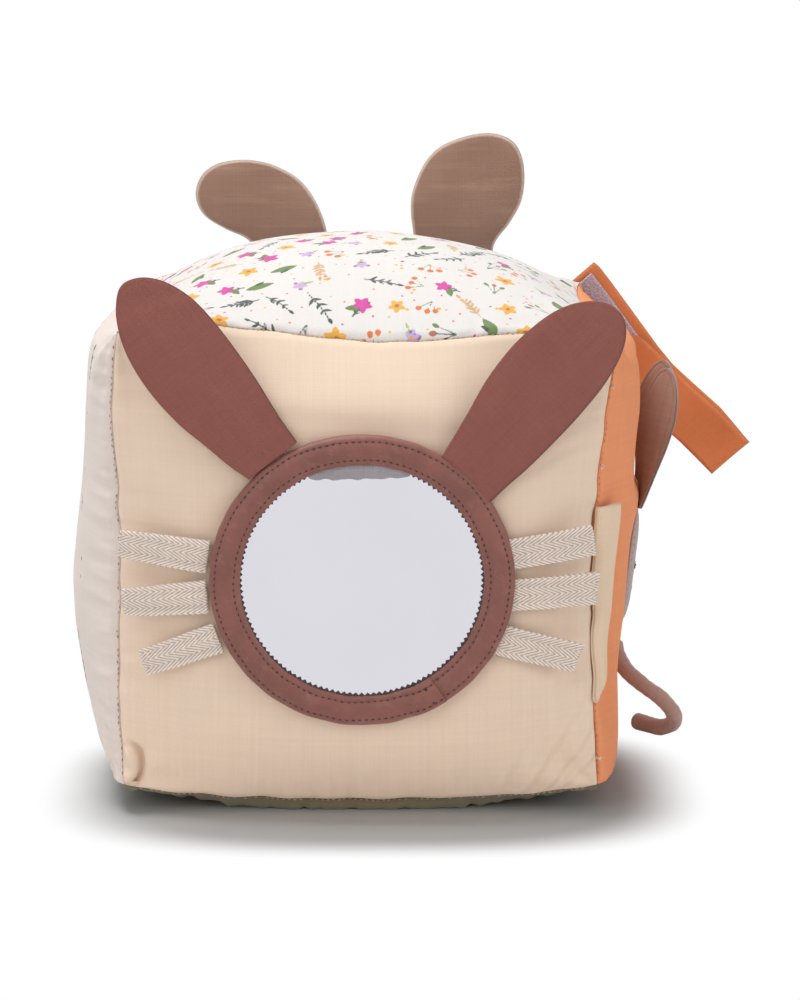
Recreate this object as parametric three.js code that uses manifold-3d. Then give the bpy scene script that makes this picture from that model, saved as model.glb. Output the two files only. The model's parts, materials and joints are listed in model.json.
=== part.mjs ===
// Soft fabric block: a stuffed activity cube of six sewn panels.
// Its front carries a mirror in a ring with two long ears and six tapes, its back seam two round ears,
// its right side a mouse with two ears and a cord tail, and its corners a label and a closing strap.
// Millimetres. X runs right, Y away from the front, Z up. The origin is the centre of the base on the floor.

import * as THREE from 'three';
import { mergeVertices } from 'three/addons/utils/BufferGeometryUtils.js';
import Module from 'manifold-3d';

const wasm = await Module();
wasm.setup();

// Block, from seam corner to seam corner
const block_width = 150;
const block_depth = 150;
const block_height = 140;
const base_drop = 9;

// Swell of each panel past the flat plane of its four seam corners
const left_crown = 15.5;
const right_crown = 13;
const back_crown = 13;
const top_crown = 21.5;
const front_swell = 20;
const front_plateau = 10.5;
const base_swell = 14;
const base_press = 0.5;
const plateau_blend = 0.9;
const seam_waist = 3;
const base_sag = 3.5;

// Powers that shape the domes and the drawn-in seams
const dome_power = 2.3;
const waist_power = 6;

// Cloth, film and clearances
const panel_thickness = 1.4;
const crinkle_thickness = 0.6;
const seam_gap = 0.3;
const touch_gap = 0.3;

// Grid counts of the sewn forms, even numbers
const panel_cells = 12;
const crinkle_cells = 10;
const round_segments = 48;

// Rattle in the filling
const rattle_radius = 20;
const rattle_wall = 1.5;
const rattle_segments = 20;
const rattle_steps = 6;
const bead_radius = 4.5;
const bead_count = 3;
const bead_segments = 12;
const bead_rings = 8;

// Mirror and the ring that holds it
const ring_centre_drop = 4;
const ring_outer_radius = 44.8;
const ring_band = 8.8;
const ring_cover = 1.2;
const ring_round = 0.6;
const mirror_overlap = 4.4;
const mirror_thickness = 1;
const backing_thickness = 1.5;

// Long ears of the front, each of two plies
const front_ear_length = 68;
const front_ear_width = 26;
const front_ear_edge = 0.5;
const front_ear_puff = 1.3;
const front_ear_room = 0.1;
const front_ears = [
  { name: 'rabbit_ear_left', polar: 127.8, lean: 0 },
  { name: 'rabbit_ear_right', polar: 44.2, lean: -5.5 },
];

// Tapes of the front, three a side
const tape_width = 9.8;
const tape_length = 27.5;
const tape_thickness = 1.2;
const tape_height = 1.5;
const tape_spread = 1.06;
const tape_steps = 3;
const tape_names = ['upper', 'middle', 'lower'];
const tapes = {
  left: [{ polar: 171.2, lean: -1.1 }, { polar: 186, lean: 1.4 }, { polar: 201.5, lean: 1.7 }],
  right: [{ polar: 10, lean: 1.1 }, { polar: -5.7, lean: -10.1 }, { polar: -23.2, lean: -9.5 }],
};

// Round ears in the seam between the back and the top, each of two plies
const rear_ear_width = 40;
const rear_ear_height = 50;
const rear_ear_edge = 0.3;
const rear_ear_puff = 1.7;
const rear_ear_left_x = -21;
const rear_ear_right_x = 32;

// Label loop in the seam between the front and the right side
const label_length = 13;
const label_height = 60;
const label_ply = 0.4;
const label_hollow = 0.4;
const label_middle = 64.6;
const label_angle = 32;

// Closing strap at the back corner of the right side
const strap_width = 17;
const strap_thickness = 1.8;
const strap_root_thickness = 0.6;
const strap_root_gap = 0.5;
const strap_length = 68;
const strap_droop = 48.9;
const strap_root_drop = 10.6;
const strap_fold_out = 52.7;
const strap_fold_drop = 62.1;
const strap_tip_overrun = 14;
const patch_length = 30;
const patch_width = 12.5;
const patch_thickness = 1;
const patch_margin = 2;

// Mouse on the right side
const mouse_head_y = -10;
const mouse_head_z = 67;
const mouse_head_width = 36;
const mouse_head_height = 36;
const mouse_head_edge = 1;
const mouse_head_puff = 2;
const mouse_head_power = 3;
const mouse_body_y = 25;
const mouse_body_z = 52.6;
const mouse_body_width = 42;
const mouse_body_height = 34;
const mouse_body_edge = 1;
const mouse_body_puff = 1.2;
const mouse_outline_points = 28;
const mouse_ear_length = 48;
const mouse_ear_width = 19;
const mouse_ear_edge = 0.4;
const mouse_ear_puff = 1.1;
const mouse_ear_spacing = 21;
const mouse_ear_yaw = 20;
const mouse_ear_lean = 10.5;

// Tail cord, chosen point by point along its route from the mouse down to the floor
const tail_diameter = 5;
const tail_sides = 10;
const tail_steps = 16;
const tail_route = [
  [85.5, 22.2, 32.4],
  [85.9, 19.9, 30.0],
  [86.9, 17.2, 27.2],
  [89.4, 14.3, 24.3],
  [93.9, 11.9, 20.7],
  [98.5, 11.6, 17.4],
  [102.1, 12.9, 13.9],
  [104.5, 15.6, 10.3],
  [104.8, 20.3, 6.2],
  [102.3, 25.7, 3.3],
  [98.8, 30.6, 2.6],
  [94.5, 36.1, 2.6],
];

// Outlines as shares of length and width, chosen by hand

// Long ear: how wide it is, in shares of its width, at each share of its length
const long_ear_shares = [
  [0, 0.68],
  [0.14, 0.77],
  [0.3, 0.88],
  [0.46, 0.97],
  [0.6, 1],
  [0.74, 0.95],
  [0.85, 0.8],
  [0.93, 0.57],
  [0.98, 0.3],
];

// Round ears: across and up from the middle of the root
const rear_left_shares = [
  [0.29, 0],
  [0.28, 0.2],
  [0.25, 0.38],
  [0.16, 0.56],
  [0.02, 0.7],
  [-0.18, 0.79],
  [-0.36, 0.825],
  [-0.52, 0.825],
  [-0.66, 0.8],
  [-0.77, 0.74],
  [-0.83, 0.65],
  [-0.83, 0.55],
  [-0.76, 0.45],
  [-0.6, 0.37],
  [-0.4, 0.29],
  [-0.31, 0.15],
  [-0.29, 0],
];
const rear_right_shares = [
  [0.275, 0],
  [0.355, 0.25],
  [0.48, 0.39],
  [0.575, 0.53],
  [0.605, 0.68],
  [0.585, 0.83],
  [0.51, 0.94],
  [0.355, 0.995],
  [0.15, 0.985],
  [-0.09, 0.91],
  [-0.235, 0.79],
  [-0.33, 0.61],
  [-0.345, 0.47],
  [-0.32, 0.3],
  [-0.275, 0],
];

// Mouse ear: how wide it is at each share of its length
const mouse_ear_shares = [
  [0, 0.5],
  [0.14, 0.64],
  [0.3, 0.82],
  [0.48, 0.97],
  [0.64, 1],
  [0.79, 0.87],
  [0.9, 0.62],
  [0.97, 0.33],
];

// Rings of a ply, in shares of its outline drawn in to its middle, and how much of its puff each has
const ply_ring_shares = [
  [1, 0],
  [0.8, 0.66],
  [0.45, 0.94],
];
const appliance_ring_shares = [
  [1, 0],
  [0.86, 0.5],
  [0.6, 0.84],
  [0.3, 0.97],
];

// Sizes that follow
const degree = Math.PI / 180;
const half_width = block_width / 2;
const half_depth = block_depth / 2;
const half_height = block_height / 2;
const block_middle_z = base_drop + half_height;
const ring_inner_radius = ring_outer_radius - ring_band;
const mirror_radius = ring_inner_radius + mirror_overlap;
const mirror_low = touch_gap + backing_thickness + touch_gap;
const mirror_high = mirror_low + mirror_thickness;
const ring_front = mirror_high + touch_gap + ring_cover;
const ring_middle_z = block_middle_z - ring_centre_drop;
const panel_share = panel_thickness / half_width;
const touch_share = touch_gap / half_width;
const crinkle_share = crinkle_thickness / half_width;
const rim_share = seam_gap * Math.SQRT1_2 / half_width;
const core_share = 1 - panel_share - touch_share;
const core_left_share = core_share - crinkle_share - touch_share;
const rattle_pocket_radius = rattle_radius + touch_gap;
const ply_gap = touch_gap / 2;

// Shapes of the sewn block

// Height of a dome over its middle line, from 1 in the middle to 0 at the seams
function dome(share) {
  return Math.max(0, 1 - Math.abs(share) ** dome_power);
}

// A swell that levels off at a limit, as cloth does over something flat
function levelled(swell, limit) {
  return -plateau_blend * Math.log(Math.exp(-swell / plateau_blend) + Math.exp(-limit / plateau_blend));
}

// Share of a seam's draw at a point, from two of its shares
function seamPull(first, second) {
  return dome(first) * Math.abs(second) ** waist_power + dome(second) * Math.abs(first) ** waist_power;
}

// Place of a point of the block, given as three shares from -1 to 1 between its opposite faces
function puffed(a, b, c) {
  const swell_x = (a < 0 ? left_crown : right_crown) * dome(b) * dome(c);
  const swell_front = levelled(front_swell * dome(a) * dome(c), front_plateau);
  const swell_back = back_crown * dome(a) * dome(c);
  const swell_base = levelled(base_swell * dome(a) * dome(b), base_drop + base_press);
  const swell_top = top_crown * dome(a) * dome(b);
  const x = a * (half_width + swell_x - seam_waist * seamPull(b, c));
  const y = b * (half_depth + (b < 0 ? swell_front : swell_back) - seam_waist * seamPull(a, c));
  const swell_z = c < 0 ? swell_base + base_sag * seamPull(a, b) : swell_top - seam_waist * seamPull(a, b);
  const z = c * (half_height + swell_z);
  return new THREE.Vector3(x, y, Math.max(0, block_middle_z + z));
}

// Closed bodies

// A body from points and triangles, with shared points merged and its faces turned outwards
function weld(points, faces) {
  const raw = new THREE.BufferGeometry();
  raw.setAttribute('position', new THREE.Float32BufferAttribute(points.flatMap((p) => [p.x, p.y, p.z]), 3));
  raw.setIndex(faces.flat());
  return facesOut(mergeVertices(raw));
}

function facesOut(geometry) {
  const at = geometry.attributes.position;
  const order = geometry.index.array;
  const corner = [new THREE.Vector3(), new THREE.Vector3(), new THREE.Vector3()];
  let volume = 0;
  for (let i = 0; i < order.length; i += 3) {
    corner.forEach((p, k) => p.fromBufferAttribute(at, order[i + k]));
    volume += corner[0].dot(corner[1].cross(corner[2]));
  }
  if (volume < 0) {
    for (let i = 0; i < order.length; i += 3) {
      [order[i], order[i + 1]] = [order[i + 1], order[i]];
    }
  }
  return geometry;
}

// A box whose six faces are grids, each point sent to its place by a map of three shares from 0 to 1.
// Each cell is split along its outer diagonal, so that layers over each other are split alike.
function boxSkin(cells, map) {
  const points = [];
  const faces = [];
  for (const [axis, first, second] of [[0, 1, 2], [1, 2, 0], [2, 0, 1]]) {
    for (const end of [0, 1]) {
      const start = points.length;
      const row = cells[second] + 1;
      for (let i = 0; i <= cells[first]; i += 1) {
        for (let j = 0; j <= cells[second]; j += 1) {
          const share = [0, 0, 0];
          share[axis] = end;
          share[first] = i / cells[first];
          share[second] = j / cells[second];
          points.push(map(...share));
        }
      }
      for (let i = 0; i < cells[first]; i += 1) {
        for (let j = 0; j < cells[second]; j += 1) {
          const p = start + i * row + j;
          const quad = [p, p + row, p + row + 1, p + 1];
          if (end === 0) quad.reverse();
          if (middleReach(points, quad[1], quad[3]) > middleReach(points, quad[0], quad[2])) {
            quad.push(quad.shift());
          }
          faces.push([quad[0], quad[1], quad[2]], [quad[0], quad[2], quad[3]]);
        }
      }
    }
  }
  return weld(points, faces);
}

// How far the middle of a diagonal lies from the block's middle
function middleReach(points, from, to) {
  const middle = new THREE.Vector3(0, 0, block_middle_z);
  return points[from].clone().add(points[to]).divideScalar(2).distanceTo(middle);
}

// A pad: its outline drawn in by rings to a middle point, with a low and a high surface
function padSkin(outline, middle, rings, place) {
  const points = [];
  const faces = [];
  const count = outline.length;
  for (const ring of rings) {
    for (const height of [ring.high, ring.low]) {
      for (const [x, y] of outline) {
        points.push(place(middle[0] + (x - middle[0]) * ring.share, middle[1] + (y - middle[1]) * ring.share, height));
      }
    }
  }
  const inner = rings[rings.length - 1];
  const top_point = points.push(place(middle[0], middle[1], inner.high)) - 1;
  const low_point = points.push(place(middle[0], middle[1], inner.low)) - 1;
  for (let i = 0; i < count; i += 1) {
    const next = (i + 1) % count;
    rings.slice(1).forEach((ring, k) => {
      const outer_high = 2 * k * count;
      const outer_low = outer_high + count;
      const inner_high = outer_low + count;
      const inner_low = inner_high + count;
      faces.push([outer_high + i, outer_high + next, inner_high + next], [outer_high + i, inner_high + next, inner_high + i]);
      faces.push([outer_low + next, outer_low + i, inner_low + i], [outer_low + next, inner_low + i, inner_low + next]);
    });
    const last_high = 2 * (rings.length - 1) * count;
    const last_low = last_high + count;
    faces.push([last_high + i, last_high + next, top_point], [last_low + next, last_low + i, low_point]);
    faces.push([i, count + i, count + next], [i, count + next, next]);
  }
  return weld(points, faces);
}

// A band through stations, each a pair of points with a low and a high surface
function bandSkin(stations) {
  const points = stations.flatMap(({ left, right, low, high }) => [
    new THREE.Vector3(left[0], left[1], low),
    new THREE.Vector3(right[0], right[1], low),
    new THREE.Vector3(right[0], right[1], high),
    new THREE.Vector3(left[0], left[1], high),
  ]);
  const faces = [[0, 1, 2], [0, 2, 3]];
  for (let k = 0; k < stations.length - 1; k += 1) {
    for (let i = 0; i < 4; i += 1) {
      const a = 4 * k + i;
      const b = 4 * k + ((i + 1) % 4);
      faces.push([a, a + 4, b + 4], [a, b + 4, b]);
    }
  }
  const end = 4 * (stations.length - 1);
  faces.push([end, end + 2, end + 1], [end, end + 3, end + 2]);
  return weld(points, faces);
}

// A round form turned from a profile of radius and height, standing along Z
function turned(profile, segments) {
  const lathe = new THREE.LatheGeometry(profile.map(([r, h]) => new THREE.Vector2(r, h)), segments);
  lathe.deleteAttribute('normal');
  lathe.deleteAttribute('uv');
  lathe.rotateX(Math.PI / 2);
  return facesOut(dropFlatFaces(mergeVertices(lathe)));
}

// Leaves out triangles that have lost an edge on the axis
function dropFlatFaces(geometry) {
  const order = Array.from(geometry.index.array);
  const kept = [];
  for (let i = 0; i < order.length; i += 3) {
    const [a, b, c] = order.slice(i, i + 3);
    if (a !== b && b !== c && c !== a) kept.push(a, b, c);
  }
  geometry.setIndex(kept);
  return geometry;
}

function toSolid(geometry) {
  return new wasm.Manifold(new wasm.Mesh({
    numProp: 3,
    vertProperties: new Float32Array(geometry.attributes.position.array),
    triVerts: new Uint32Array(geometry.index.array),
  }));
}

function cutAway(body, tool) {
  const cut = toSolid(body).subtract(toSolid(tool)).getMesh();
  const geometry = new THREE.BufferGeometry();
  geometry.setAttribute('position', new THREE.BufferAttribute(new Float32Array(cut.vertProperties), 3));
  geometry.setIndex(Array.from(cut.triVerts));
  return geometry;
}

// Materials

function fabric(colour) {
  return new THREE.MeshStandardMaterial({ color: colour, roughness: 0.9, metalness: 0 });
}

function named(name, geometry, material) {
  const mesh = new THREE.Mesh(geometry, material);
  mesh.name = name;
  return mesh;
}

const peach_cotton = () => fabric(0xe9cfb6);
const print_cotton = () => fabric(0xf0ede4);
const blush_cotton = () => fabric(0xded0c8);
const orange_cotton = () => fabric(0xe0926a);
const olive_cotton = () => fabric(0x6c7058);
const taupe_cotton = () => fabric(0x96735f);
const light_taupe_cotton = () => fabric(0xcbb09e);
const mauve_linen = () => fabric(0x8d5d55);
const mauve_leather = () => new THREE.MeshStandardMaterial({ color: 0x8c5c52, roughness: 0.6, metalness: 0 });
const cream_tape = () => fabric(0xdccbbe);
const label_tape = () => fabric(0xd8c0a8);
const hook_tape = () => fabric(0xc8afb9);
const grey_felt = () => fabric(0xb09a98);
const cord_suede = () => fabric(0x94716a);
const white_fibre = () => fabric(0xf4f2ee);
const clear_film = () => new THREE.MeshStandardMaterial({ color: 0xd8dde2, roughness: 0.3, metalness: 0 });
const mirror_film = () => new THREE.MeshStandardMaterial({ color: 0xdbdbe1, roughness: 0.05, metalness: 1 });
const rattle_plastic = () => new THREE.MeshStandardMaterial({ color: 0xe8e6e0, roughness: 0.5, metalness: 0 });
const bead_plastic = () => new THREE.MeshStandardMaterial({ color: 0xd08050, roughness: 0.4, metalness: 0 });

// Six panels, mitred at the seams
function panel(name, axis, side, material) {
  const across = (axis + 1) % 3;
  const up = (axis + 2) % 3;
  const counts = [panel_cells, panel_cells, panel_cells];
  counts[axis] = 1;
  const skin = boxSkin(counts, (...share) => {
    const depth = 1 - panel_share * (1 - share[axis]);
    const reach = depth - rim_share;
    const place = [0, 0, 0];
    place[axis] = side * depth;
    place[across] = reach * (2 * share[across] - 1);
    place[up] = reach * (2 * share[up] - 1);
    return puffed(...place);
  });
  return named(name, skin, material);
}

// Filling in two halves, with a round pocket for the rattle
function filling(name, side) {
  const counts = [panel_cells, panel_cells, panel_cells / 2];
  const body = boxSkin(counts, (i, j, k) => {
    const a = i * (core_left_share + core_share) - core_left_share;
    const b = core_share * (2 * j - 1);
    const c = side * (ply_gap / half_height + k * (core_share - ply_gap / half_height));
    return puffed(a, b, c);
  });
  const pocket = ball(rattle_pocket_radius, rattle_segments, 2 * rattle_steps);
  pocket.translate(0, 0, block_middle_z);
  return named(name, cutAway(body, pocket), white_fibre());
}

// A faceted ball about the origin, its poles on Z
function ball(radius, segments, rings) {
  const profile = [];
  for (let i = 0; i <= rings; i += 1) {
    const angle = Math.PI * i / rings;
    const r = i === 0 || i === rings ? 0 : radius * Math.sin(angle);
    profile.push([r, -radius * Math.cos(angle)]);
  }
  return turned(profile, segments);
}

// Film that crackles behind the left panel
function crinkleFilm() {
  const outer = core_share;
  const inner = core_share - crinkle_share;
  const reach = core_share * crinkle_cells / panel_cells;
  const skin = boxSkin([1, crinkle_cells, crinkle_cells], (i, j, k) => {
    const a = -(inner + i * (outer - inner));
    return puffed(a, reach * (2 * j - 1), reach * (2 * k - 1));
  });
  return named('crinkle_film', skin, clear_film());
}

// Rattle: two half shells and loose beads
function rattleShell(name, side) {
  const inner_radius = rattle_radius - rattle_wall;
  const lip = ply_gap / rattle_radius;
  const profile = [];
  for (let i = 0; i <= rattle_steps; i += 1) {
    const angle = (Math.PI / 2) * (i / rattle_steps);
    profile.push([i === 0 ? 0 : rattle_radius * Math.sin(angle), side * rattle_radius * Math.max(Math.cos(angle), lip)]);
  }
  for (let i = rattle_steps; i >= 0; i -= 1) {
    const angle = (Math.PI / 2) * (i / rattle_steps);
    const height = side * Math.max(inner_radius * Math.cos(angle), lip * rattle_radius);
    profile.push([i === 0 ? 0 : inner_radius * Math.sin(angle), height]);
  }
  const mesh = named(name, turned(profile, rattle_segments), rattle_plastic());
  mesh.position.z = block_middle_z;
  return mesh;
}

function rattleBeads() {
  const group = new THREE.Group();
  const spread = (2 * bead_radius + touch_gap) / Math.sqrt(3);
  const facet = Math.cos(Math.PI / rattle_segments) * Math.cos(Math.PI / (4 * rattle_steps));
  const reach = (rattle_radius - rattle_wall) * facet - bead_radius - touch_gap;
  const fall = Math.sqrt(reach ** 2 - spread ** 2);
  for (let i = 0; i < bead_count; i += 1) {
    const turn = (2 * Math.PI * i) / bead_count;
    const bead = named(`rattle_bead_${i + 1}`, ball(bead_radius, bead_segments, bead_rings), bead_plastic());
    bead.position.set(spread * Math.cos(turn), spread * Math.sin(turn), block_middle_z - fall);
    group.add(bead);
  }
  group.userData.fall = fall;
  return group;
}

// Mirror unit on the flat patch of the front. Z of the group points out of the front.
function mirrorUnit() {
  const group = new THREE.Group();
  group.position.set(0, -(half_depth + front_plateau), ring_middle_z);
  group.rotation.x = Math.PI / 2;
  group.add(disc('mirror_backing', touch_gap, backing_thickness, white_fibre()));
  group.add(disc('mirror_disc', mirror_low, mirror_thickness, mirror_film()));
  group.add(mirrorRing());
  front_ears.forEach((ear) => group.add(frontEar(ear)));
  for (const [side, row] of Object.entries(tapes)) {
    row.forEach((tape, i) => group.add(frontTape(`whisker_${side}_${tape_names[i]}`, tape)));
  }
  return group;
}

function disc(name, low, thickness, material) {
  const high = low + thickness;
  return named(name, turned([[0, low], [mirror_radius, low], [mirror_radius, high], [0, high]], round_segments), material);
}

// The ring's underside steps over the mirror's edge and its outer part sits on the panel
function mirrorRing() {
  const under = mirror_high + touch_gap;
  const step = mirror_radius + touch_gap;
  const profile = [
    [ring_inner_radius, under],
    [step, under],
    [step, touch_gap],
    [ring_outer_radius - ring_round, touch_gap],
    [ring_outer_radius, touch_gap + ring_round],
    [ring_outer_radius, ring_front - ring_round],
    [ring_outer_radius - ring_round, ring_front],
    [ring_inner_radius + ring_round, ring_front],
    [ring_inner_radius, ring_front - ring_round],
    [ring_inner_radius, under],
  ];
  return named('mirror_ring', turned(profile, round_segments), mauve_leather());
}

// A hinge group at a place on the ring's rim: its X is the hinge line and its Y points away from the ring
function ringHinge(name, polar, height) {
  const reach = ring_outer_radius + touch_gap;
  const group = new THREE.Group();
  group.name = `${name}_hinge`;
  group.position.set(reach * Math.cos(polar * degree), reach * Math.sin(polar * degree), height);
  group.rotation.z = polar * degree - Math.PI / 2;
  return group;
}

// Outline of a long ear from its shares, leaning sideways by an angle
function longOutline(shares, length, width, lean) {
  const slope = Math.tan(lean * degree);
  const right = shares.map(([along, wide]) => [along * length * slope + (wide * width) / 2, along * length]);
  const left = shares.map(([along, wide]) => [along * length * slope - (wide * width) / 2, along * length]);
  return [...right, [length * slope, length], ...left.reverse()];
}

// One ply of an ear, flat on its inner side and puffed on the other
function ply(name, outline, middle, edge, puff, side, level, material) {
  const rings = ply_ring_shares.map(([share, swell]) => {
    const far = ply_gap + edge + swell * (puff - edge);
    const pair = [level + side * ply_gap, level + side * far];
    return { share, low: Math.min(...pair), high: Math.max(...pair) };
  });
  const skin = padSkin(outline, middle, rings, (x, y, h) => new THREE.Vector3(x, y, h));
  return named(name, skin, material);
}

function frontEar({ name, polar, lean }) {
  const group = ringHinge(name, polar, ring_front + touch_gap);
  const outline = longOutline(long_ear_shares, front_ear_length, front_ear_width, lean);
  const middle = [front_ear_length * Math.tan(lean * degree) / 2, front_ear_length / 2];
  const level = -(front_ear_room + front_ear_puff + ply_gap);
  group.add(ply(`${name}_front`, outline, middle, front_ear_edge, front_ear_puff, 1, level, mauve_linen()));
  group.add(ply(`${name}_back`, outline, middle, front_ear_edge, front_ear_puff, -1, level, mauve_linen()));
  return group;
}

function frontTape(name, { polar, lean }) {
  const group = ringHinge(name, polar, tape_height + tape_thickness);
  const slope = Math.tan(lean * degree);
  const stations = [];
  for (let i = 0; i <= tape_steps; i += 1) {
    const along = (i / tape_steps) * tape_length;
    const half = (tape_width / 2) * (1 + (i / tape_steps) * (tape_spread - 1));
    stations.push({
      left: [along * slope - half, along],
      right: [along * slope + half, along],
      low: -tape_thickness,
      high: 0,
    });
  }
  group.add(named(name, bandSkin(stations), cream_tape()));
  return group;
}

// Round ears standing in the back seam. The hinge line runs along X just over the seam.
function rearEar(name, root_x, shares) {
  const outline = shares.map(([x, z]) => [x * rear_ear_width, z * rear_ear_height]);
  const xs = shares.map(([x]) => x);
  const zs = shares.map(([, z]) => z);
  const middle = [
    rear_ear_width * (Math.min(...xs) + Math.max(...xs)) / 2,
    rear_ear_height * (Math.min(...zs) + Math.max(...zs)) / 2,
  ];
  const root_half = shares[0][0] * rear_ear_width;
  const ends = [root_x - root_half, root_x + root_half].map((x) => puffed(x / half_width, 1, 1));
  const seam_z = Math.max(...ends.map((p) => p.z));
  const seam_y = Math.max(...ends.map((p) => p.y));
  const group = new THREE.Group();
  group.name = `${name}_hinge`;
  group.position.set(root_x, seam_y, seam_z + touch_gap + ply_gap + rear_ear_edge);
  group.rotation.x = Math.PI / 2;
  group.add(ply(`${name}_front`, outline, middle, rear_ear_edge, rear_ear_puff, 1, 0, taupe_cotton()));
  group.add(ply(`${name}_back`, outline, middle, rear_ear_edge, rear_ear_puff, -1, 0, light_taupe_cotton()));
  return group;
}

// Label: a tape folded double, its two ends in the seam
function sideLabel() {
  const half = label_ply + label_hollow / 2;
  const inner = label_hollow / 2;
  const fold = label_length - label_ply;
  const section = new THREE.Shape([
    [0, -half], [fold, -half], [label_length, -inner], [label_length, inner], [fold, half], [0, half],
    [0, inner], [fold - label_ply, inner], [fold, 0], [fold - label_ply, -inner], [0, -inner],
  ].map(([x, y]) => new THREE.Vector2(x, y)));
  const geometry = new THREE.ExtrudeGeometry(section, { depth: label_height, bevelEnabled: false, steps: 1 });
  geometry.translate(0, 0, -label_height / 2);
  const ends = [-label_height / 2, label_height / 2].map((rise) => (label_middle + rise - block_middle_z) / half_height);
  const seams = ends.map((share) => puffed(1, -1, share));
  const seam_x = Math.max(...seams.map((p) => p.x));
  const seam_y = Math.min(...seams.map((p) => p.y));
  const angle = label_angle * degree;
  const lift = half + touch_gap;
  const group = new THREE.Group();
  group.name = 'side_label_hinge';
  group.position.set(seam_x + lift * Math.cos(angle), seam_y - lift * Math.sin(angle), label_middle);
  group.rotation.z = Math.PI / 2 - angle;
  group.add(named('side_label', welded(geometry), label_tape()));
  return group;
}

// A geometry of the library as one body with shared points
function welded(geometry) {
  geometry.deleteAttribute('normal');
  geometry.deleteAttribute('uv');
  return facesOut(dropFlatFaces(mergeVertices(geometry)));
}

// Strap: an arm from the corner seam down to its fold, and a return from the fold back up to its tip.
// Both lie in planes across Y. Z of the groups points to the front.
function strap() {
  const top = base_drop + block_height;
  const root_z = top - strap_root_drop;
  const half = strap_width / 2;
  const seam = puffed(1, 1, (root_z + half - block_middle_z) / half_height);
  const group = new THREE.Group();
  group.name = 'strap_arm_hinge';
  group.position.set(seam.x + strap_root_gap, seam.y, root_z);
  group.rotation.x = Math.PI / 2;
  const fold = [strap_fold_out, strap_root_drop - strap_fold_drop];
  const droop = strap_droop * degree;
  const at = (back, side) => [
    fold[0] - back * Math.cos(droop) + side * Math.sin(droop),
    fold[1] + back * Math.sin(droop) + side * Math.cos(droop),
  ];
  const station = (back, reach, low, high) => ({ left: at(back, reach), right: at(back, -reach), low, high });
  const thin = strap_root_thickness / 2;
  const thick = strap_thickness / 2;
  const root = { left: [0, half], right: [0, -half], low: -thin, high: thin };
  const arm = bandSkin([root, station(strap_length, half, -thick, thick), station(0, half, -thick, thick)]);
  group.add(named('strap_arm', arm, orange_cotton()));
  const patch_back = strap_length - patch_margin;
  const patch_half = patch_width / 2;
  const patch_high = -(thick + touch_gap);
  const patch_low = patch_high - patch_thickness;
  group.add(named('loop_patch', bandSkin([
    station(patch_back, patch_half, patch_low, patch_high),
    station(patch_back - patch_length, patch_half, patch_low, patch_high),
  ]), hook_tape()));
  const fold_level = patch_high;
  group.add(strapReturn(fold, fold_level, patch_low - fold_level - touch_gap));
  return group;
}

// The return turns about the fold at the arm's end. X of its group runs along the fold line.
function strapReturn(fold, level, patch_high) {
  const half = strap_width / 2;
  const group = new THREE.Group();
  group.name = 'strap_return_hinge';
  group.position.set(fold[0], fold[1], level);
  group.rotation.z = Math.PI / 2 - strap_droop * degree;
  const patch_low = patch_high - patch_thickness;
  const high = patch_low - touch_gap;
  const low = high - strap_thickness;
  const reach = strap_length + strap_tip_overrun;
  const station = (along, side, bottom, top) => ({ left: [-side, along], right: [side, along], low: bottom, high: top });
  const band = bandSkin([
    station(0, half, low, 0),
    station(strap_thickness, half, low, 0),
    station(2 * strap_thickness, half, low, high),
    station(reach - strap_thickness, half, low, high),
    station(reach, half - strap_thickness, low, high),
  ]);
  group.add(named('strap_return', band, orange_cotton()));
  const patch_half = patch_width / 2;
  const patch_end = reach - patch_margin;
  group.add(named('hook_patch', bandSkin([
    station(patch_end - patch_length, patch_half, patch_low, patch_high),
    station(patch_end, patch_half, patch_low, patch_high),
  ]), hook_tape()));
  return group;
}

// Mouse: pieces laid on the right panel and raised along its normal

// Point at a height over the right panel, from a place in Y and Z
function onRight(y, z, height) {
  const b = y / half_depth;
  const c = (z - block_middle_z) / half_height;
  const nudge = panel_share;
  const point = puffed(1, b, c);
  const along_y = puffed(1, b + nudge, c).sub(puffed(1, b - nudge, c));
  const along_z = puffed(1, b, c + nudge).sub(puffed(1, b, c - nudge));
  return point.addScaledVector(along_y.cross(along_z).normalize(), height);
}

// Outline of a rounded form about a middle, square to a power
function roundedOutline(width, height, power, count) {
  return Array.from({ length: count }, (_, i) => {
    const turn = (2 * Math.PI * i) / count;
    const c = Math.cos(turn);
    const s = Math.sin(turn);
    const reach = (Math.abs(c) ** power + Math.abs(s) ** power) ** (-1 / power);
    return [reach * c * width / 2, reach * s * height / 2];
  });
}

function panelPad(width, height, power, edge, puff, base, at_y, at_z) {
  const outline = roundedOutline(width, height, power, mouse_outline_points);
  const rings = appliance_ring_shares.map(([share, swell]) => {
    return { share, low: base, high: touch_gap + edge + swell * (puff - edge) };
  });
  return padSkin(outline, [0, 0], rings, (y, z, h) => onRight(at_y + y, at_z + z, h));
}

function mouseHead() {
  const skin = panelPad(mouse_head_width, mouse_head_height, mouse_head_power, mouse_head_edge, mouse_head_puff,
    touch_gap, mouse_head_y, mouse_head_z);
  return named('mouse_head', skin, grey_felt());
}

// The body is cut clear of the head
function mouseBody() {
  const skin = panelPad(mouse_body_width, mouse_body_height, 2, mouse_body_edge, mouse_body_puff,
    touch_gap, mouse_body_y, mouse_body_z);
  const room = 2 * touch_gap;
  const cutter = panelPad(mouse_head_width + room, mouse_head_height + room, mouse_head_power,
    2 * mouse_head_puff, 2 * mouse_head_puff, -touch_gap, mouse_head_y, mouse_head_z);
  return named('mouse_body', cutAway(skin, cutter), grey_felt());
}

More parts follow.
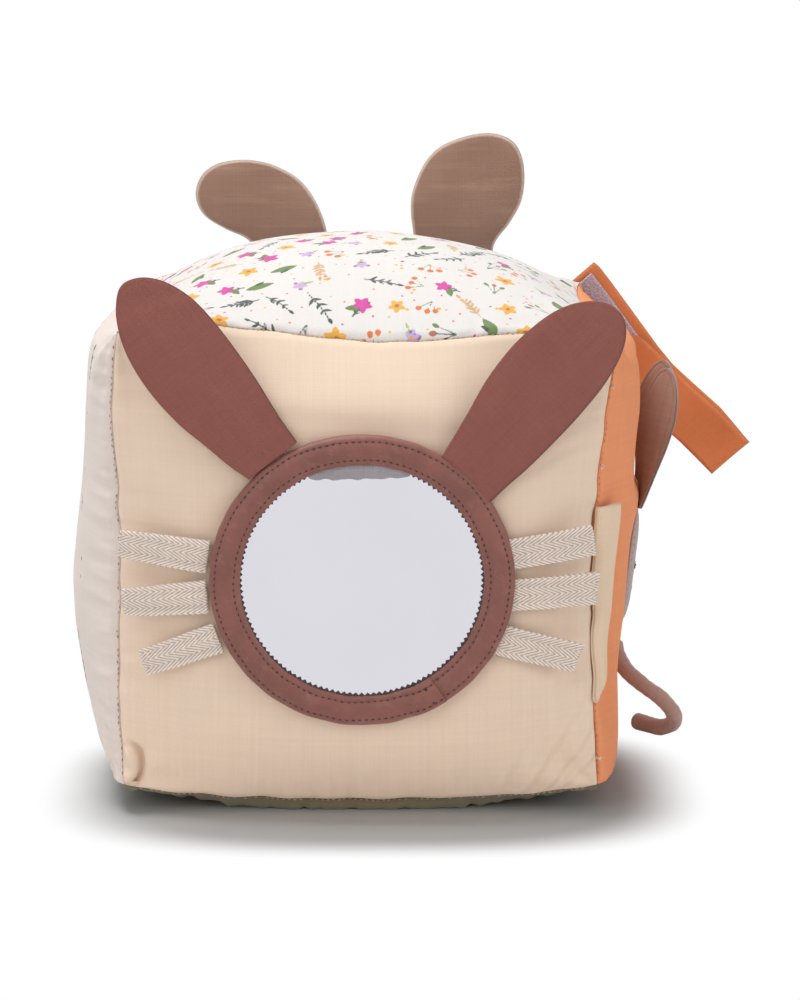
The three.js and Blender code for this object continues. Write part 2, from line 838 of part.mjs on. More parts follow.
// X of the hinge group runs along the ear's root, Y up the ear, Z out of the side
function mouseEar(name, side) {
  const yaw = mouse_ear_yaw * degree;
  const root_y = mouse_head_y + side * mouse_ear_spacing / 2;
  const root_z = mouse_head_z + mouse_head_height / 2 + touch_gap;
  const root_half = mouse_ear_shares[0][1] * mouse_ear_width / 2;
  const depth = (ply_gap + mouse_ear_edge) / Math.cos(yaw);
  const reaches = [-root_half, root_half].map((reach) => {
    return onRight(root_y + reach * Math.cos(yaw), root_z, touch_gap).x + reach * Math.sin(yaw);
  });
  const root = new THREE.Vector3(Math.max(...reaches) + depth, root_y, root_z);
  const across = new THREE.Vector3(-Math.sin(yaw), Math.cos(yaw), 0);
  const out = new THREE.Vector3(Math.cos(yaw), Math.sin(yaw), 0);
  const up = new THREE.Vector3(0, 0, 1);
  const lean = mouse_ear_lean * degree;
  const along = up.clone().multiplyScalar(Math.cos(lean)).addScaledVector(out, Math.sin(lean));
  const normal = new THREE.Vector3().crossVectors(across, along);
  const group = new THREE.Group();
  group.name = `${name}_hinge`;
  group.quaternion.setFromRotationMatrix(new THREE.Matrix4().makeBasis(across, along, normal));
  group.position.copy(root);
  const outline = longOutline(mouse_ear_shares, mouse_ear_length, mouse_ear_width, 0);
  const middle = [0, mouse_ear_length / 2];
  group.add(ply(`${name}_outer`, outline, middle, mouse_ear_edge, mouse_ear_puff, 1, 0, grey_felt()));
  group.add(ply(`${name}_inner`, outline, middle, mouse_ear_edge, mouse_ear_puff, -1, 0, mauve_linen()));
  return group;
}

function tailCord() {
  const section = new THREE.Shape(Array.from({ length: tail_sides }, (_, i) => {
    const turn = (2 * Math.PI * i) / tail_sides;
    return new THREE.Vector2(Math.cos(turn), Math.sin(turn)).multiplyScalar(tail_diameter / 2);
  }));
  const route = new THREE.CatmullRomCurve3(tail_route.map((p) => new THREE.Vector3(...p)), false, 'centripetal');
  const tube = new THREE.ExtrudeGeometry(section, { steps: tail_steps, extrudePath: route, bevelEnabled: false });
  return named('tail_cord', welded(tube), cord_suede());
}

const block = new THREE.Group();
block.add(
  panel('front_panel', 1, -1, peach_cotton()),
  panel('back_panel', 1, 1, taupe_cotton()),
  panel('left_panel', 0, -1, blush_cotton()),
  panel('right_panel', 0, 1, orange_cotton()),
  panel('top_panel', 2, 1, print_cotton()),
  panel('bottom_panel', 2, -1, olive_cotton()),
  filling('filling_lower', -1),
  filling('filling_upper', 1),
  crinkleFilm(),
  rattleShell('rattle_shell_lower', -1),
  rattleShell('rattle_shell_upper', 1),
  rattleBeads(),
  mirrorUnit(),
  rearEar('rear_ear_left', rear_ear_left_x, rear_left_shares),
  rearEar('rear_ear_right', rear_ear_right_x, rear_right_shares),
  sideLabel(),
  strap(),
  mouseHead(),
  mouseBody(),
  mouseEar('mouse_ear_near', -1),
  mouseEar('mouse_ear_far', 1),
  tailCord(),
);

export default block;
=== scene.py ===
import bpy
import bmesh
import json
import math
import numpy as np
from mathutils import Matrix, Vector


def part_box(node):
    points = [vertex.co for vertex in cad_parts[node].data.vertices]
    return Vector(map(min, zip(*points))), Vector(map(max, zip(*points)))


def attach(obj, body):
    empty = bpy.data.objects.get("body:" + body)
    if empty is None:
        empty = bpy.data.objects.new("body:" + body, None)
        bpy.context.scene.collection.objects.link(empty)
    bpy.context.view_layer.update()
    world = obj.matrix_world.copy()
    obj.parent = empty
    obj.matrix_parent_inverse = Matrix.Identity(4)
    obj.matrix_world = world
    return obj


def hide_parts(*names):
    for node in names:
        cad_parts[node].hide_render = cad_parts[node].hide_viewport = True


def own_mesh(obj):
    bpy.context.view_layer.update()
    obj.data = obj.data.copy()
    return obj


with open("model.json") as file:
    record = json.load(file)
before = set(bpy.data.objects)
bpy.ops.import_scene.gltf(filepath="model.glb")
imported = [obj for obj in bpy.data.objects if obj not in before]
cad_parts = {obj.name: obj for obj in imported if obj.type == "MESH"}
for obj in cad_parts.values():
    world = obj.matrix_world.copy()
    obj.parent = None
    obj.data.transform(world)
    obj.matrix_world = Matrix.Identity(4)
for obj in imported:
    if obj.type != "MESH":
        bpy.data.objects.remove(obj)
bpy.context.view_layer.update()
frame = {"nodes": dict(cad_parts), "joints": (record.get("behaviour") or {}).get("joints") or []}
joints = {joint["child"]: joint for joint in frame["joints"]}
MM = 0.001
rng = np.random.RandomState(7)

# camera, as found from the seams and the ring in the photograph
TILT, DISTANCE = math.radians(9.9), 1.1077
FOCAL_PX, LONG_SIDE_PX = 3430, 1000
camera_data = bpy.data.cameras.new("camera")
camera = bpy.data.objects.new("camera", camera_data)
bpy.context.scene.collection.objects.link(camera)
camera.location = Vector((0.0, 0.0, 0.0786)) + Vector((0.0, -math.cos(TILT), math.sin(TILT))) * DISTANCE
camera.rotation_euler = (math.radians(90) - TILT, 0.0, 0.0)
camera_data.sensor_width = 36.0
camera_data.lens = FOCAL_PX * 36.0 / LONG_SIDE_PX
camera_data.shift_x, camera_data.shift_y = 0.0423, 0.018
camera_data.clip_start, camera_data.clip_end = 0.05, 40.0
bpy.context.scene.camera = camera

# sizes of the block in mm: half its width, depth and height, its heart, and how far each side swells
HW, HD, HH = 75.0, 75.0, 70.0
MIDZ = 9.0 + HH
HEART = np.array([0.0, 0.0, MIDZ])
FRONT_SWELL, FRONT_LEVEL, BACK_SWELL, TOP_SWELL = 20.0, 10.5, 13.0, 21.5
BASE_SWELL, BASE_LEVEL = 14.0, 5.3
EAR_HOLLOW = 6.0
FRONT = -(HD + FRONT_LEVEL)
RING_X, RING_Z = 1.3, MIDZ - 4.0
GROUND = 0.02


# curves and waves
def dome(t):
    return np.maximum(0.0, 1 - np.abs(t) ** 2.3)


def levelled(swell, limit):
    return -0.9 * np.log(np.exp(-swell / 0.9) + np.exp(-limit / 0.9))


def pull(m, n):
    return dome(m) * np.abs(n) ** 6 + dome(n) * np.abs(m) ** 6


def eased(t):
    t = np.clip(t, 0, 1)
    return t ** 2 * (3 - 2 * t)


def bell(t, middle, width, power=2):
    return np.exp(-((t - middle) / width) ** power)


def unit(v):
    return v / np.maximum(1e-9, np.linalg.norm(v, axis=-1, keepdims=True))


def columns(a, b):
    """Two arrays side by side as the two columns of one."""
    return np.stack(np.broadcast_arrays(a, b), -1)


def lengths(points):
    """The length of each step of a line of points."""
    return np.linalg.norm(np.diff(points, axis=0), axis=1)


def way(points):
    """How far along a line each of its points is."""
    return np.r_[0, np.cumsum(lengths(points))]


def sample(at, s, points):
    return np.stack([np.interp(at, s, points[:, k]) for k in range(points.shape[1])], 1)


def sines(seed, pitch, count=5):
    """A smooth random wave of about the pitch, from -1 to 1."""
    r = np.random.RandomState(seed)
    f = 1 / (pitch * r.uniform(0.6, 1.7, count))
    ph = r.uniform(0, 2 * np.pi, count)
    am = r.uniform(0.5, 1, count)
    am /= am.sum() ** 0.75

    def wave(p):
        return sum(a * np.sin(2 * np.pi * q * p + h) for a, q, h in zip(am, f, ph))
    return wave


def blobs(seed, pitch, count=9):
    """A smooth random field over a plane, from about -1 to 1."""
    r = np.random.RandomState(seed)
    f = 1 / (pitch * r.uniform(0.6, 2.0, count))
    an = r.uniform(0, np.pi, count)
    ph = r.uniform(0, 2 * np.pi, count)

    def field(p, q):
        total = 0
        for a, g, h in zip(f, an, ph):
            total = total + np.sin(2 * np.pi * a * (p * math.cos(g) + q * math.sin(g)) + h)
        return total / math.sqrt(count)
    return field


def closed_curve(points, count):
    """A smooth closed outline through points, with even steps."""
    p = np.asarray(points, float)
    out = []
    for i in range(len(p)):
        p0, p1, p2, p3 = p[i - 1], p[i], p[(i + 1) % len(p)], p[(i + 2) % len(p)]
        t = np.linspace(0, 1, 24, endpoint=False)[:, None]
        out.append(0.5 * (2 * p1 + (p2 - p0) * t + (2 * p0 - 5 * p1 + 4 * p2 - p3) * t ** 2
                          + (3 * p1 - p0 - 3 * p2 + p3) * t ** 3))
    q = np.vstack(out)
    q = np.vstack([q, q[:1]])
    s = way(q)
    return sample(np.linspace(0, s[-1], count, endpoint=False), s, q)


def open_curve(points, count):
    """A smooth line through points, from the first to the last, with even steps."""
    p = np.asarray(points, float)
    p = np.vstack([2 * p[0] - p[1], p, 2 * p[-1] - p[-2]])
    out = []
    for i in range(1, len(p) - 2):
        p0, p1, p2, p3 = p[i - 1:i + 3]
        d1, d2, d3 = (max(1e-6, np.linalg.norm(u)) ** 0.5 for u in (p1 - p0, p2 - p1, p3 - p2))
        m1 = (p2 - p1) + d2 * ((p1 - p0) / d1 - (p2 - p0) / (d1 + d2))
        m2 = (p2 - p1) + d2 * ((p3 - p2) / d3 - (p3 - p1) / (d2 + d3))
        t = np.linspace(0, 1, 40, endpoint=False)[:, None]
        a = 2 * (p1 - p2) + m1 + m2
        b = -3 * (p1 - p2) - 2 * m1 - m2
        out.append(a * t ** 3 + b * t ** 2 + m1 * t + p1)
    q = np.vstack(out + [p[-2:-1]])
    s = way(q)
    return sample(np.linspace(0, s[-1], count), s, q)


def row(*pairs):
    """A smooth row of values over -1 to 1 through the given pairs."""
    at = np.linspace(-1.1, 1.1, 441)
    values = np.interp(at, *np.array(pairs).T)
    return at[12:-12], np.convolve(values, np.hanning(25) / np.hanning(25).sum(), "valid")


# the block as a puffed cube: its side swells over the height, and its front seams off their straight lines
RIGHT_SWELL = row((-1, 0), (-0.97, 7), (-0.92, 8.6), (-0.84, 9), (-0.7, 8.4), (-0.58, 8.0), (-0.49, 8.5),
                  (-0.34, 9.8), (-0.2, 11.0), (0, 13.0), (0.1, 14.4), (0.24, 14.7), (0.455, 15.6),
                  (0.6, 16.6), (0.82, 16.4), (0.92, 12.5), (1, 0))
LEFT_SWELL = row((-1, 0), (-0.95, 5), (-0.87, 8.8), (-0.68, 12), (-0.58, 13.3), (-0.39, 15.2), (-0.2, 15.6),
                 (0.08, 14.0), (0.27, 12.6), (0.455, 11.7), (0.64, 11.1), (0.83, 11.0), (0.92, 10), (1, 0))
TOP_SEAM = row((-1, 0.5), (-0.8, 3.6), (-0.6, 4.6), (-0.4, 3.9), (-0.25, 2.9), (-0.1, 1.6), (0.1, 0.5),
               (0.35, 0.9), (0.52, 1.8), (0.75, 1.8), (1, 0))
RIGHT_SEAM = row((-1, -0.8), (-0.6, -0.4), (0, -0.6), (0.15, -0.3), (0.35, 1.1), (0.6, 2.1), (0.85, 2.6),
                 (1, 1.5))
LEFT_SEAM = row((-1, 0.4), (-0.85, 0.8), (-0.6, -0.7), (-0.3, -1.0), (0.05, -0.5), (0.4, -1.1), (0.6, -2.0),
                (0.85, -0.6), (1, 0))
seam_wave = [(sines(200 + k, 13), sines(300 + k, 17)) for k in range(8)]


def puffed(a, b, c):
    """Place of a point of the block from three shares between its opposite faces, in mm."""
    a, b, c = np.broadcast_arrays(np.asarray(a, float), np.asarray(b, float), np.asarray(c, float))
    across = dome(b) ** np.where(a < 0, 0.8, np.interp(c, [-1, -0.75, -0.4, 1], [0.45, 0.5, 0.9, 1.0]))
    swell_x = across * np.where(a < 0, np.interp(c, *LEFT_SWELL), np.interp(c, *RIGHT_SWELL))
    pressed = (a > 0) * EAR_HOLLOW * np.exp(-((b * HD + 8) / 27) ** 6 - ((c * HH - 37) / 20) ** 6)
    swell_front = levelled(FRONT_SWELL * dome(a) * dome(c), FRONT_LEVEL)
    swell_back = BACK_SWELL * dome(a) * dome(c)
    swell_base = levelled(BASE_SWELL * np.maximum(0, 1 - a * a - b ** 10), BASE_LEVEL)
    swell_top = TOP_SWELL * dome(a) * dome(b)
    x = a * (HW + swell_x - pressed - 3 * pull(b, c))
    y = b * (HD + np.where(b < 0, swell_front, swell_back) - 3 * pull(a, c))
    sag_top = 3 * pull(a, b) + 1.2 * dome(a) * np.abs(b) ** 6 * (b < 0)
    swell_z = np.where(c < 0, swell_base + 3.5 * pull(a, b), swell_top - sag_top)
    z = MIDZ + c * (HH + swell_z + (c < 0) * (1.6 + 1.1 * dome(a)))
    # corners, and the seams of the front
    corner = (np.abs(a) * np.abs(b) * np.abs(c)) ** 6
    x = x - np.sign(a) * corner * np.where(a < 0, 2.6, np.where(c > 0, -1.8, 0.2))
    z = z - corner * np.where(c > 0, 1.2, -0.8)
    near_front = np.abs(b) ** 8 * (b < 0)
    z = z + near_front * np.maximum(0, c) ** 8 * np.interp(a, *TOP_SEAM)
    x = x + near_front * np.abs(a) ** 8 * np.where(a > 0, np.interp(c, *RIGHT_SEAM), np.interp(c, *LEFT_SEAM))
    z = np.maximum(0.0, z)
    # waves of the upright seams, then of the level ones
    upright = np.abs(a) ** 10 * np.abs(b) ** 10 * dome(c)
    key = (a > 0) * 1 + (b > 0) * 2
    wave_x, wave_y = np.zeros_like(x), np.zeros_like(x)
    for k in range(4):
        wave_x = np.where(key == k, seam_wave[k][0](c * HH), wave_x)
        wave_y = np.where(key == k, seam_wave[k][1](c * HH), wave_y)
    x = x + upright * wave_x * 0.3
    y = y + upright * wave_y * 0.4
    level = np.abs(b) ** 10 * np.abs(c) ** 10 * dome(a)
    front_z = np.where(c > 0, seam_wave[4][0](a * HW), seam_wave[5][0](a * HW))
    wave_z = np.where(b < 0, front_z, seam_wave[6][0](a * HW))
    z = z + level * wave_z * np.where(c < 0, 0.6, 0.25)
    y = y + level * np.where(c < 0, seam_wave[7][0](a * HW), 0) * 0.4
    return np.stack([x, y, z], -1)


# mesh making
def build(name, verts, faces, uv=None, floats=None, colours=None, smooth=True, fix=False, merge=0):
    """An object from points in mm. fix turns faces outwards; merge joins points nearer than that, in m."""
    mesh = bpy.data.meshes.new(name)
    mesh.from_pydata((np.asarray(verts).reshape(-1, 3) * MM).tolist(), [], [list(map(int, f)) for f in faces])
    if uv is not None:
        layer = mesh.uv_layers.new(name="weave")
        index = np.empty(len(mesh.loops), dtype=np.int32)
        mesh.loops.foreach_get("vertex_index", index)
        flat = np.asarray(uv, dtype=np.float32).reshape(-1, 2) * MM
        layer.data.foreach_set("uv", flat[index].ravel())
    for key, values in (floats or {}).items():
        at = mesh.attributes.new(key, "FLOAT", "POINT")
        at.data.foreach_set("value", np.asarray(values, dtype=np.float32).ravel())
    for key, values in (colours or {}).items():
        at = mesh.color_attributes.new(key, "FLOAT_COLOR", "POINT")
        at.data.foreach_set("color", np.asarray(values, dtype=np.float32).ravel())
    if fix or merge:
        bm = bmesh.new()
        bm.from_mesh(mesh)
        if merge:
            bmesh.ops.remove_doubles(bm, verts=bm.verts, dist=merge)
        bmesh.ops.recalc_face_normals(bm, faces=bm.faces)
        bm.to_mesh(mesh)
        bm.free()
    if smooth:
        mesh.polygons.foreach_set("use_smooth", np.ones(len(mesh.polygons), dtype=bool))
    mesh.update()
    obj = bpy.data.objects.new(name, mesh)
    bpy.context.scene.collection.objects.link(obj)
    return obj


def quads(nu, nv, wrap_u=False, wrap_v=False, off=0):
    """Faces of a grid of points stored row by row, u first."""
    iu = np.arange(nu if wrap_u else nu - 1)
    iv = np.arange(nv if wrap_v else nv - 1)
    a, b = np.meshgrid(iu, iv, indexing="ij")
    a2, b2 = (a + 1) % nu, (b + 1) % nv
    return (np.stack([a * nv + b, a2 * nv + b, a2 * nv + b2, a * nv + b2], -1).reshape(-1, 4) + off).tolist()


def tube(rows, sides):
    """Faces of a closed tube of rings of points, with a lid on either end."""
    lids = [list(range(sides)), list(range((rows - 1) * sides, rows * sides))]
    return quads(rows, sides, wrap_v=True) + lids


def band(name, centre, side, half, thick, ripple, cols=25, edge=8):
    """A closed strip of cloth along a line of points. side holds the unit direction across it."""
    n = len(centre)
    along = unit(np.gradient(centre, axis=0))
    side = unit(side - along * np.sum(side * along, -1, keepdims=True))
    normal = np.cross(along, side)
    t = np.linspace(-1, 1, cols)
    t = np.sign(t) * (1 - (1 - np.abs(t)) ** 1.35)
    roll = np.sqrt(np.maximum(0, 1 - np.abs(t) ** edge))
    thick = np.broadcast_to(thick, (n,))
    s = way(centre)
    lift = ripple(s[:, None], t[None] * half[:, None])
    flat = centre[:, None] + side[:, None] * (t[None, :, None] * half[:, None, None])
    flat = flat + normal[:, None] * lift[..., None]
    up = normal[:, None] * (roll[None, :, None] * thick[:, None, None] / 2)
    ring = np.concatenate([flat + up, (flat - up)[:, ::-1]], 1)
    across = np.concatenate([t, t[::-1]])
    uv = np.stack([across[None] * half[:, None], np.repeat(s[:, None], 2 * cols, 1)], -1)
    faces = quads(n, 2 * cols, wrap_v=True)
    for base in (0, (n - 1) * 2 * cols):
        for i in range(cols - 1):
            faces.append([base + i, base + i + 1, base + 2 * cols - 2 - i, base + 2 * cols - 1 - i])
    return build(name, ring, faces, uv, fix=True)


def pad(name, outline, medial, place, top, bottom, wrinkle=None, edge=0.5, groove=1.5, depth=0.35, soft=3.5,
        rings=26, fill=0):
    """A closed puffed form. place sends x, y and height to a point; d is the distance to the outline."""
    n = len(outline)
    r = 1 - np.linspace(0, 1, rings) ** 1.5
    away = np.linalg.norm(outline - medial, axis=1)
    xy = medial[None] + (outline - medial)[None] * r[:, None, None]
    d = (1 - r)[:, None] * away[None]
    if fill:
        hub = medial.mean(0)
        share = np.linspace(1, 0, fill + 1)[1:]
        xy = np.concatenate([xy, hub + (medial - hub)[None] * share[:, None, None]])
        inside = (1 - share)[:, None] * np.linalg.norm(medial - hub, axis=1)[None]
        d = np.concatenate([d, d[-1:] + inside])
        rings = rings + fill
    swell = 1 - np.exp(-d / soft)
    dip = depth * bell(d, groove, 0.45)
    wr = 0 if wrinkle is None else wrinkle(xy[..., 0], xy[..., 1]) * swell
    rim = np.sqrt(np.clip(d / 0.4, 0, 1))
    hi = rim * edge / 2 + top * swell - dip + wr
    lo = -(rim * edge / 2 + bottom * swell - dip) + wr
    hi[0] = lo[0] = (hi[0] + lo[0]) / 2
    up = place(xy[..., 0], xy[..., 1], hi)
    dn = place(xy[1:, :, 0], xy[1:, :, 1], lo[1:])
    verts = np.concatenate([up.reshape(-1, 3), dn.reshape(-1, 3)])
    uv = np.concatenate([xy.reshape(-1, 2), xy[1:].reshape(-1, 2) + 500])
    base = rings * n
    faces = quads(rings, n, wrap_v=True)
    faces += [[i, base + i, base + (i + 1) % n, (i + 1) % n] for i in range(n)]
    faces += [f[::-1] for f in quads(rings - 1, n, wrap_v=True, off=base)]
    return build(name, verts, faces, uv, {"rim": np.concatenate([d.ravel(), d[1:].ravel()])}, merge=2e-5)


def shell(name, grid, thick, uv, edge=0.6):
    """A closed sheet of cloth from a grid of points."""
    nu, nv = grid.shape[:2]
    normal = unit(np.cross(np.gradient(grid, axis=0), np.gradient(grid, axis=1)))
    iu, iv = np.arange(nu), np.arange(nv)
    step_u = np.linalg.norm(np.diff(grid, axis=0), axis=-1).mean()
    step_v = np.linalg.norm(np.diff(grid, axis=1), axis=-1).mean()
    near_u, near_v = np.minimum(iu, nu - 1 - iu) * step_u, np.minimum(iv, nv - 1 - iv) * step_v
    near = np.minimum(near_u[:, None], near_v[None])
    roll = np.sqrt(np.clip(near / edge, 0.0, 1)) * 0.9 + 0.1
    half = normal * (thick / 2 * roll)[..., None]
    verts = np.concatenate([(grid + half).reshape(-1, 3), (grid - half).reshape(-1, 3)])
    base = nu * nv
    faces = quads(nu, nv) + [f[::-1] for f in quads(nu, nv, off=base)]
    border = [i * nv for i in range(nu)] + [(nu - 1) * nv + j for j in range(1, nv)]
    border += [i * nv + nv - 1 for i in range(nu - 2, -1, -1)] + list(range(nv - 2, 0, -1))
    for a, b in zip(border, border[1:] + border[:1]):
        faces.append([a, b, base + b, base + a])
    uvs = np.concatenate([uv.reshape(-1, 2), uv.reshape(-1, 2) + 300])
    return build(name, verts, faces, uvs, {"rim": np.tile(near.ravel(), 2)}, fix=True)


def stitch_form(length, radius, rings=6, sides=6):
    """A short rounded thread lying along X, in mm."""
    verts = []
    for i in range(rings + 1):
        t = i / rings
        x = (t - 0.5) * length
        w = radius * math.sin(math.pi * min(max(t, 0.02), 0.98)) ** 0.45
        sink = -radius * 1.2 * (2 * t - 1) ** 2
        for j in range(sides):
            g = 2 * math.pi * j / sides
            verts.append((x, w * math.cos(g), w * math.sin(g) + sink))
    faces = []
    for i in range(rings):
        for j in range(sides):
            a, b = i * sides + j, i * sides + (j + 1) % sides
            faces.append([a, b, b + sides, a + sides])
    faces.append(list(range(sides))[::-1])
    faces.append([rings * sides + j for j in range(sides)])
    return np.array(verts), faces


def scatter(name, form, origins, along, normal, scale=None):
    """Copies of a small form in one mesh, each with its X along a direction and its Z on a normal."""
    verts, faces = form
    origins = np.asarray(origins)
    along, normal = np.asarray(along, float), np.broadcast_to(np.asarray(normal, float), origins.shape)
    along, normal = unit(along), unit(normal)
    side = unit(np.cross(normal, along))
    normal = np.cross(along, side)
    scale = np.ones(len(origins)) if scale is None else np.asarray(scale)
    axes = np.stack([along, side, normal], 1)
    pts = np.einsum("vk,nkj->nvj", verts, axes) * scale[:, None, None] + origins[:, None]
    count = len(verts)
    all_faces = [[int(i) + k * count for i in f] for k in range(len(origins)) for f in faces]
    shift = np.repeat(np.arange(len(origins)) * 3.7, count)[:, None]
    return build(name, pts, all_faces, np.tile(verts[:, :2], (len(origins), 1)) + shift)


# materials
def linear(code):
    out = []
    for i in (1, 3, 5):
        s = int(code[i:i + 2], 16) / 255
        out.append(s / 12.92 if s <= 0.04045 else ((s + 0.055) / 1.055) ** 2.4)
    return out + [1.0]


def shade(colour, share):
    return [c * share for c in colour[:3]] + [1]


class Tree:
    """The nodes of a material or of the world."""

    def __init__(self, holder):
        holder.use_nodes = True
        self.nt = holder.node_tree
        self.nt.nodes.clear()

    def put(self, socket, value):
        if isinstance(value, bpy.types.NodeSocket):
            self.nt.links.new(value, socket)
        else:
            socket.default_value = value

    def node(self, kind, *inputs, **values):
        n = self.nt.nodes.new("ShaderNode" + kind)
        for key, value in values.items():
            if key in n.inputs:
                self.put(n.inputs[key], value)
            else:
                setattr(n, key, value)
        for i, value in enumerate(inputs):
            self.put(n.inputs[i], value)
        return n

    def math(self, op, a, b=0.0, c=0.0):
        return self.node("Math", a, b, c, operation=op).outputs[0]

    def add(self, a, b):
        return self.math("ADD", a, b)

    def sub(self, a, b):
        return self.math("SUBTRACT", a, b)

    def mul(self, a, b):
        return self.math("MULTIPLY", a, b)

    def muladd(self, a, b, c):
        return self.math("MULTIPLY_ADD", a, b, c)

    def ridges(self, a, k):
        """Even rounded ridges over a length, from 0 to 1."""
        return self.math("ABSOLUTE", self.math("SINE", self.mul(a, k)))

    def mix(self, share, a, b, blend="MIX"):
        n = self.node("Mix", data_type="RGBA", blend_type=blend)
        for i, value in ((0, share), (6, a), (7, b)):
            self.put(n.inputs[i], value)
        return n.outputs[2]

    def grey(self, level):
        return self.node("CombineColor", level, level, level).outputs[0]

    def remap(self, value, lo, hi, to_lo=0.0, to_hi=1.0, smooth=True):
        kind = "SMOOTHSTEP" if smooth else "LINEAR"
        return self.node("MapRange", value, lo, hi, to_lo, to_hi, interpolation_type=kind).outputs[0]

    def uv(self, source="uv"):
        """Metres across and along the cloth, or of the object's own frame."""
        if source == "uv":
            v = self.node("UVMap", uv_map="weave").outputs[0]
        else:
            v = self.node("TexCoord").outputs["Object"]
        s = self.node("SeparateXYZ", v)
        return v, s.outputs[0], s.outputs[1], s.outputs[2]

    def stretched(self, u, v, su, sv, detail=2.0, rough=0.5, w=0.0):
        c = self.node("CombineXYZ", self.mul(u, su), self.mul(v, sv), w)
        return self.noise(c.outputs[0], 1.0, detail, rough)

    def noise(self, vector, scale, detail=3.0, rough=0.55):
        return self.node("TexNoise", Vector=vector, Scale=scale, Detail=detail,
                         Roughness=rough).outputs["Fac"]

    def attr(self, name, out="Fac"):
        return self.node("Attribute", attribute_name=name).outputs[out]


class Surface(Tree):
    """A material with one principled shader."""

    def __init__(self, name):
        self.mat = bpy.data.materials.new(name)
        super().__init__(self.mat)
        self.shader = self.node("BsdfPrincipled")
        self.node("OutputMaterial", self.shader.outputs[0])

    def set(self, **values):
        for key, value in values.items():
            self.put(self.shader.inputs[key.replace("_", " ")], value)

    def bump(self, height, distance=0.001):
        self.set(Normal=self.node("Bump", Strength=1.0, Distance=distance, Height=height).outputs[0])


def weave_height(t, u, v, pitch, herring):
    """Threads of a woven cloth, from 0 in the gaps to 1 on the threads. Pitch in metres."""
    k = math.pi / pitch
    if herring:
        fold = t.math("PINGPONG", t.add(u, 0.1), 0.00245)
        rib = t.ridges(t.add(t.mul(fold, 2.0), v), k)
        return t.mul(rib, t.muladd(t.ridges(u, k * 1.7), 0.35, 0.65))
    su, sv = t.math("SINE", t.mul(u, k)), t.math("SINE", t.mul(v, k))
    over = t.mul(su, sv)
    warp = t.mul(t.math("ABSOLUTE", su), t.muladd(over, 0.5, 0.5))
    weft = t.mul(t.math("ABSOLUTE", sv), t.muladd(over, -0.5, 0.5))
    return t.math("MAXIMUM", warp, weft)


def cloth(name, colour, pitch=0.0005, deep=0.82, blotch=0.05, slub=0.06, thread=0.07, crumple=0.12,
          crumple_scale=70.0, rough=0.9, sheen=0.15, fuzz=0.0, herring=False, source="uv", tint=None,
          rim=None, extra=None, gap=None, streak=(12.0, 900.0)):
    """A woven cloth. Colours are sRGB codes; heights are in mm."""
    t = Surface(name)
    vec, u, v, w = t.uv(source)
    if source != "uv":
        v = t.add(v, w)
    col = linear(colour)
    cell = weave_height(t, u, v, pitch, herring)
    slubs = t.add(t.stretched(u, v, *streak), t.stretched(u, v, *streak[::-1], w=3.0))
    if tint:
        col = tint(t, vec, col)
    gaps = t.mix(1.0, col, [deep, deep * 0.985, deep * 0.965, 1], "MULTIPLY") if gap is None else linear(gap)
    col = t.mix(t.remap(cell, 0.05, 0.75), gaps, col)
    level = t.muladd(t.sub(t.noise(vec, 28.0), 0.5), blotch * 3, 1.0)
    level = t.muladd(t.sub(slubs, 1.0), slub * 3, level)
    level = t.muladd(t.sub(t.noise(vec, 1500.0, 2.0), 0.5), 0.08, level)
    if rim:
        level = t.mul(level, t.remap(t.attr("rim"), 0.0, rim[0], rim[1], 1.0))
    col = t.mix(1.0, col, t.grey(level), "MULTIPLY")
    if extra:
        col = extra(t, vec, u, v, col)
    height = t.muladd(slubs, thread * 1.2, t.mul(cell, thread))
    height = t.muladd(t.noise(vec, crumple_scale, 3.0, 0.5), crumple * 3, height)
    if fuzz:
        height = t.muladd(t.noise(vec, 2600.0, 4.0, 0.7), fuzz, height)
    t.bump(height)
    t.set(Base_Color=col, Roughness=rough, Sheen_Weight=sheen, Sheen_Roughness=0.6, Specular_IOR_Level=0.25)
    return t.mat


def thread_material(name, colour, dark=0.6):
    t = Surface(name)
    vec, u, v, w = t.uv()
    twist = t.ridges(t.add(u, v), math.pi / 0.00035)
    base = linear(colour)
    share = t.muladd(twist, 0.6, t.mul(t.noise(vec, 900.0), 0.4))
    t.set(Base_Color=t.mix(share, shade(base, dark), base), Roughness=0.7, Sheen_Weight=0.2)
    t.bump(twist, 0.00006)
    return t.mat


def dress(obj, mat, body="block", stands_for=()):
    """Gives a piece its material and slot, the body it rides and the CAD nodes that it stands for."""
    obj.data.materials.clear()
    obj.data.materials.append(mat)
    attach(obj, body)
    if stands_for:
        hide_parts(*stands_for)
    return obj


# tail cord: a folded suede strip, sewn along one side
TAIL_SIDES, TAIL_RADIUS = 32, 2.6
path = open_curve([
    (85.5, 22.2, 32.4), (85.9, 19.9, 30.0), (86.9, 17.2, 27.2), (89.4, 14.3, 24.3), (93.9, 11.9, 20.7),
    (98.5, 11.6, 17.4), (102.1, 12.9, 13.9), (104.5, 15.6, 10.3), (104.8, 20.3, 6.2), (102.3, 25.7, 3.3),
    (98.8, 30.6, 2.6), (94.5, 36.1, 2.6)], 120)
along = unit(np.gradient(path, axis=0))
ref = unit(np.cross(along, np.array([0.2, 0.3, 1.0])))
other = np.cross(along, ref)
turn = 2 * np.pi * np.arange(TAIL_SIDES) / TAIL_SIDES
lump = blobs(61, 5)
rows = []
for i in range(len(path)):
    rad = TAIL_RADIUS * (1 + 0.05 * lump(turn * 2, i * 0.5)) * (1 + 0.14 * np.clip((i - 96) / 14, 0, 1))
    rad = rad * (1 - 0.10 * bell(turn, 1.9, 0.28))
    rows.append(path[i] + ref[i] * (rad * np.cos(turn))[:, None] + other[i] * (rad * np.sin(turn))[:, None])
